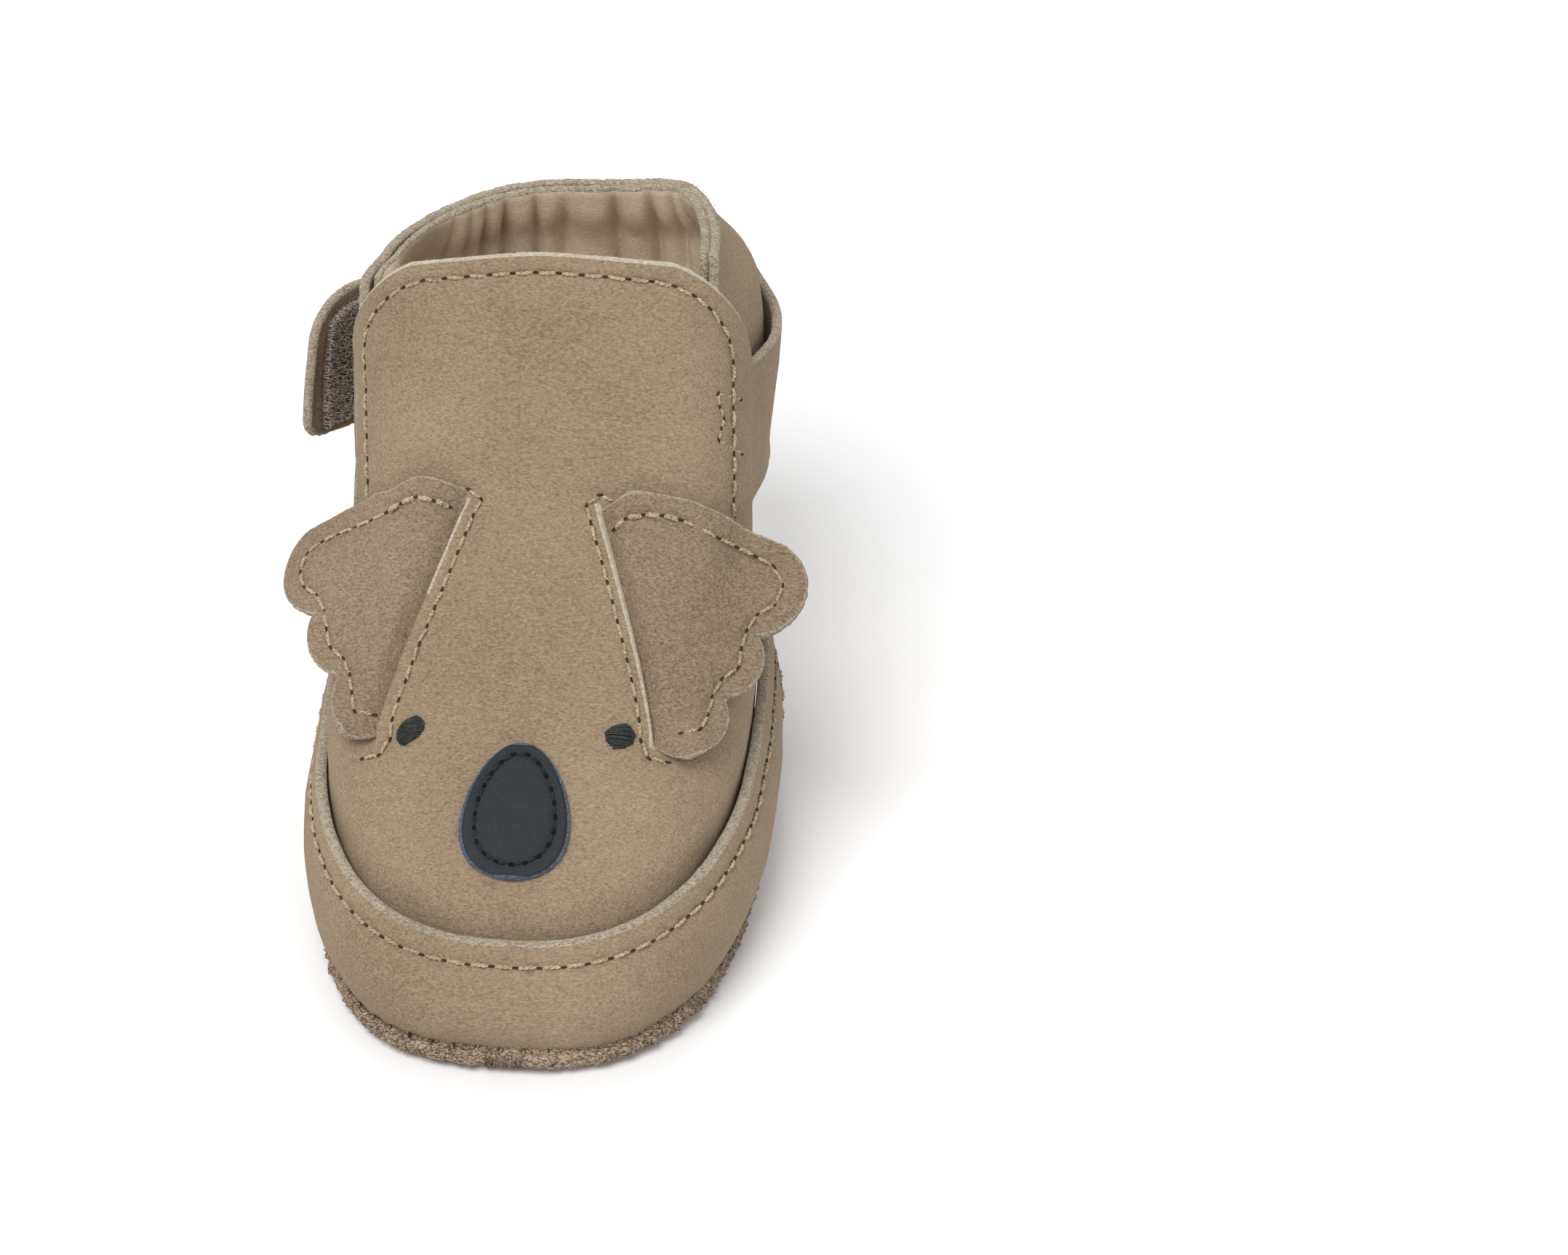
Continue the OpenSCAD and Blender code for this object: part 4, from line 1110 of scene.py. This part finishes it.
oa = np.linspace(90, TAB_ROOT, 150)[:-1]
f_tab = np.concatenate([np.linspace(0, 0.55, 34)[:-1], 1 - 0.45 * (1 - sind(np.linspace(0, 87, 46)))])
T2, A2 = np.meshgrid(tt, oa, indexing="ij")
P1 = turn(strap_mid(T2, A2), TAB_AXIS, FOOT, TAB_TURN * ease(-0.08, 0.35, 0.0) * ease(138, TAB_ROOT, A2))
V2, F2 = np.meshgrid(2 * tt - 1, f_tab, indexing="ij")
P = np.concatenate([P1, tab_frame(F2, V2)], 1)
Nrm = grid_normals(P)
along = np.concatenate([np.zeros(len(oa)), f_tab])[None, :]


def tab_ring(inset_f, inset_v, f0=0.10):
    """The tab's stitch line along its lower edge, round its tip and back along its upper edge."""
    f = f0 + (1 - f0) * sind(np.linspace(0, 90, 60))
    low = np.stack([f * (1 - inset_f), inset_v / tab_half(f, -1) - 1], -1)
    high = np.stack([f * (1 - inset_f), 1 - inset_v / tab_half(f, 1)], -1)
    return np.concatenate([low, high[::-1]])


tr = tab_ring(0.13, 0.11)
tab_line = tab_frame(tr[:, 0], tr[:, 1])
disp = 0.2 * fbm(P, 14, 2.1, 2) + 0.05 * fbm(P, 3, 1.1, 2)
disp = disp - groove(P + Nrm * half, [tab_line], 0.4, 0.8) * (along > 0.02)
snap_strap, _ = snapper(P, Nrm)
strap_shift = (Nrm * (disp + half)[..., None]).reshape(-1, 3)
P2 = pushed(P, Nrm, disp)
outer_strap = shell("strap_outer_half_and_tab", P2, Nrm, half, -half, HIDE, fuzz=0.18, bulge=0.7)
root_mid, root_end = tab_frame(np.array([0.0, 0.25]), np.zeros(2))
root_dir = unit(root_end - root_mid)
TAB_BEND = (root_mid - 1.5 * root_dir) * MM, (root_mid + 4.5 * root_dir) * MM
bending(outer_strap, "strap_tab", *TAB_BEND, "upper_leather", "ankle_strap", "strap_tab")


def tab_off(f, v, d):
    """Points d off the tab's middle layer, outwards, and the normals there."""
    e = 0.01
    p = tab_frame(f, v)
    n = unit(np.cross(tab_frame(f + e, v) - tab_frame(f - e, v), tab_frame(f, v + e) - tab_frame(f, v - e)))
    n *= np.sign((n * (p - np.array([-2.0, 30.0, 50.0]))).sum(-1, keepdims=True))
    return p + n * d, n


pts, nrm = tab_off(tr[:, 0], tr[:, 1], 0.0)
for ob in sew("tab_stitches", [(snap_strap(pts, strap_shift, 0.1), nrm)], THREAD):
    bending(ob, "strap_tab", *TAB_BEND, "thread", "tab_stitching")

# loop pile on the tab's inner face
F3, V3 = np.meshgrid(np.linspace(0.16, 0.84, 30), np.linspace(-0.92, 0.86, 26), indexing="ij")
kk = np.clip(1 - 0.03 / tab_half(F3, V3), 0, 1)
B0, BN = tab_off(F3, V3 * kk, -half - 0.02)
faces = grid_faces(*B0.shape[:2])[:, ::-1]
pile_base = shell("loop_tape_base", B0, -BN, 0.42, 0.0, [M_PILE_BASE] * 3, faces, 2, fuzz=0.05)
rings = []
g = np.linspace(0, np.pi, 6)
for f in np.linspace(0.165, 0.835, 34):
    for v in np.linspace(-0.93, 0.86, 42):
        ff, vv = f + rng.normal(0, 0.008), v * 0.94 + rng.normal(0, 0.014)
        c0, n0 = (q[0] for q in tab_off(np.array([ff]), np.array([vv]), -half - 0.35))
        d1 = rng.normal(0, 1, 3)
        d1 = unit(d1 - n0 * np.dot(n0, d1))
        wide, high = rng.uniform(0.16, 0.42), rng.uniform(0.3, 0.85)
        aside = np.cross(d1, n0) * rng.normal(0, 0.12)
        c = c0 - np.outer(np.cos(g) * wide, d1) + np.outer(np.sin(g), aside - high * n0)
        rings.append(tube_rings(c, 0.045, 3))
for ob in (pile_base, tubes("loop_tape_pile", rings, [M_PILE_PAINTED_LIGHT])):
    bending(ob, "strap_tab", *TAB_BEND, "fastener", "loop_patch")

# hook tape on the quarter
HT, HA = np.meshgrid(np.linspace(0.70, 0.88, 24), np.linspace(152, 166, 24), indexing="ij")


def on_quarter(t, a, d):
    return lifted(quarter_pt, t, a, d + quarter_sway(quarter_pt(t, a)), 0.02, 1.0)


base_p = on_quarter(HT, HA, 0.05)
hook_base = shell("hook_tape_base", base_p, grid_normals(base_p), 0.42, 0.0, [M_HOOK] * 3, rim=2, fuzz=0.02)
rings = []
g = np.linspace(0, 1, 6)
for t in np.linspace(0.705, 0.875, 26):
    for a in np.linspace(152.5, 165.5, 20):
        t1 = np.array([t + rng.normal(0, 0.0006)])
        a1 = np.array([a + rng.normal(0, 0.06)])
        p0 = on_quarter(t1, a1, 0.40)[0]
        n0 = normal_at(quarter_pt, t1, a1, 0.02, 1.0)[0]
        d1 = unit(on_quarter(t1, a1 + 1, 0.40)[0] - p0) * rng.choice([-1, 1])
        c = p0 + np.outer(0.62 * np.sin(g * 2.3), n0) + np.outer(0.3 * np.maximum(g - 0.35, 0) ** 1.2, d1)
        rings.append(tube_rings(c, 0.07, 3))
for ob in (hook_base, tubes("hook_tape_hooks", rings, [M_HOOK])):
    on_shoe(ob, "hook_patch")

# the rows that hold the strap on the heel, one on each half
t = np.linspace(0.08, 0.92, 30)
runs = []
for a in (np.full(30, 85.5), np.full(30, 94.5)):
    p = strap_pt(t, a, strap_gap(a) + STRAP_T + 0.12)
    p = p if a[0] < 90 else snap_strap(strap_mid(t, a), strap_shift, 0.08)
    runs.append((p, normal_at(quarter_pt, mix(*STRAP_BAND, t), a, 0.02, 1.0)))
for ob in sew("strap_heel_stitches", runs, THREAD):
    on_shoe(ob, "strap_heel_stitching")

# the woven elastic stays the CAD solid
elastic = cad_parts["heel_elastic"].data.materials
elastic.clear()
elastic.append(M_ELASTIC)

# ---- camera, floor and light

AIM = np.array([-1.0, -38.0, 29.5])
EL, AZ, DIST = math.radians(36), math.radians(5), 700.0
back = np.array([math.sin(AZ) * math.cos(EL), -math.cos(AZ) * math.cos(EL), math.sin(EL)])
right = unit(np.cross(-back, [0, 0, 1.0]))
upv = np.cross(right, -back)
where = AIM + back * DIST + right * (372 / 7000 * DIST) + upv * (255 / 7000 * DIST)


def place(ob, pos, x, y, z):
    ob.matrix_world = Matrix([[x[i], y[i], z[i], pos[i] * MM] for i in range(3)] + [[0, 0, 0, 1]])


cam = bpy.data.objects.new("camera", bpy.data.cameras.new("camera"))
cam.data.lens, cam.data.sensor_width, cam.data.clip_start = 116.9, 36, 0.01
bpy.context.scene.collection.objects.link(cam)
place(cam, where, right, upv, back)
bpy.context.scene.camera = cam


def area_light(name, pos, size, power):
    data = bpy.data.lights.new(name, "AREA")
    data.shape = "DISK"
    data.size = size
    data.energy = power
    ob = bpy.data.objects.new(name, data)
    bpy.context.scene.collection.objects.link(ob)
    z = unit(np.array(pos) - LIT)
    x = unit(np.cross([0, 0, 1.0], z))
    place(ob, pos, x, np.cross(z, x), z)


LIT = np.array([0.0, 5.0, 35.0])
area_light("key_light", (-200, -480, 860), 0.6, 7.0)
area_light("fill_light", (600, -300, 500), 0.9, 0.7)
area_light("back_light", (-100, 600, 700), 0.8, 2.5)

world = bpy.data.worlds.new("studio")
world.use_nodes = True
for entry, value in zip(world.node_tree.nodes["Background"].inputs, ((1, 1, 1, 1), 0.5)):
    entry.default_value = value
bpy.context.scene.world = world
bpy.context.scene.view_settings.view_transform = "Standard"

g = np.linspace(-1, 1, 41)
FX, FY = np.meshgrid(g, g, indexing="xy")
fp = np.stack([FX * 900, FY * 900 + 250, -0.02 + 0 * FX], -1)
floor = make_object("floor", fp.reshape(-1, 3), grid_faces(*fp.shape[:2]).tolist(), [M_FLOOR])
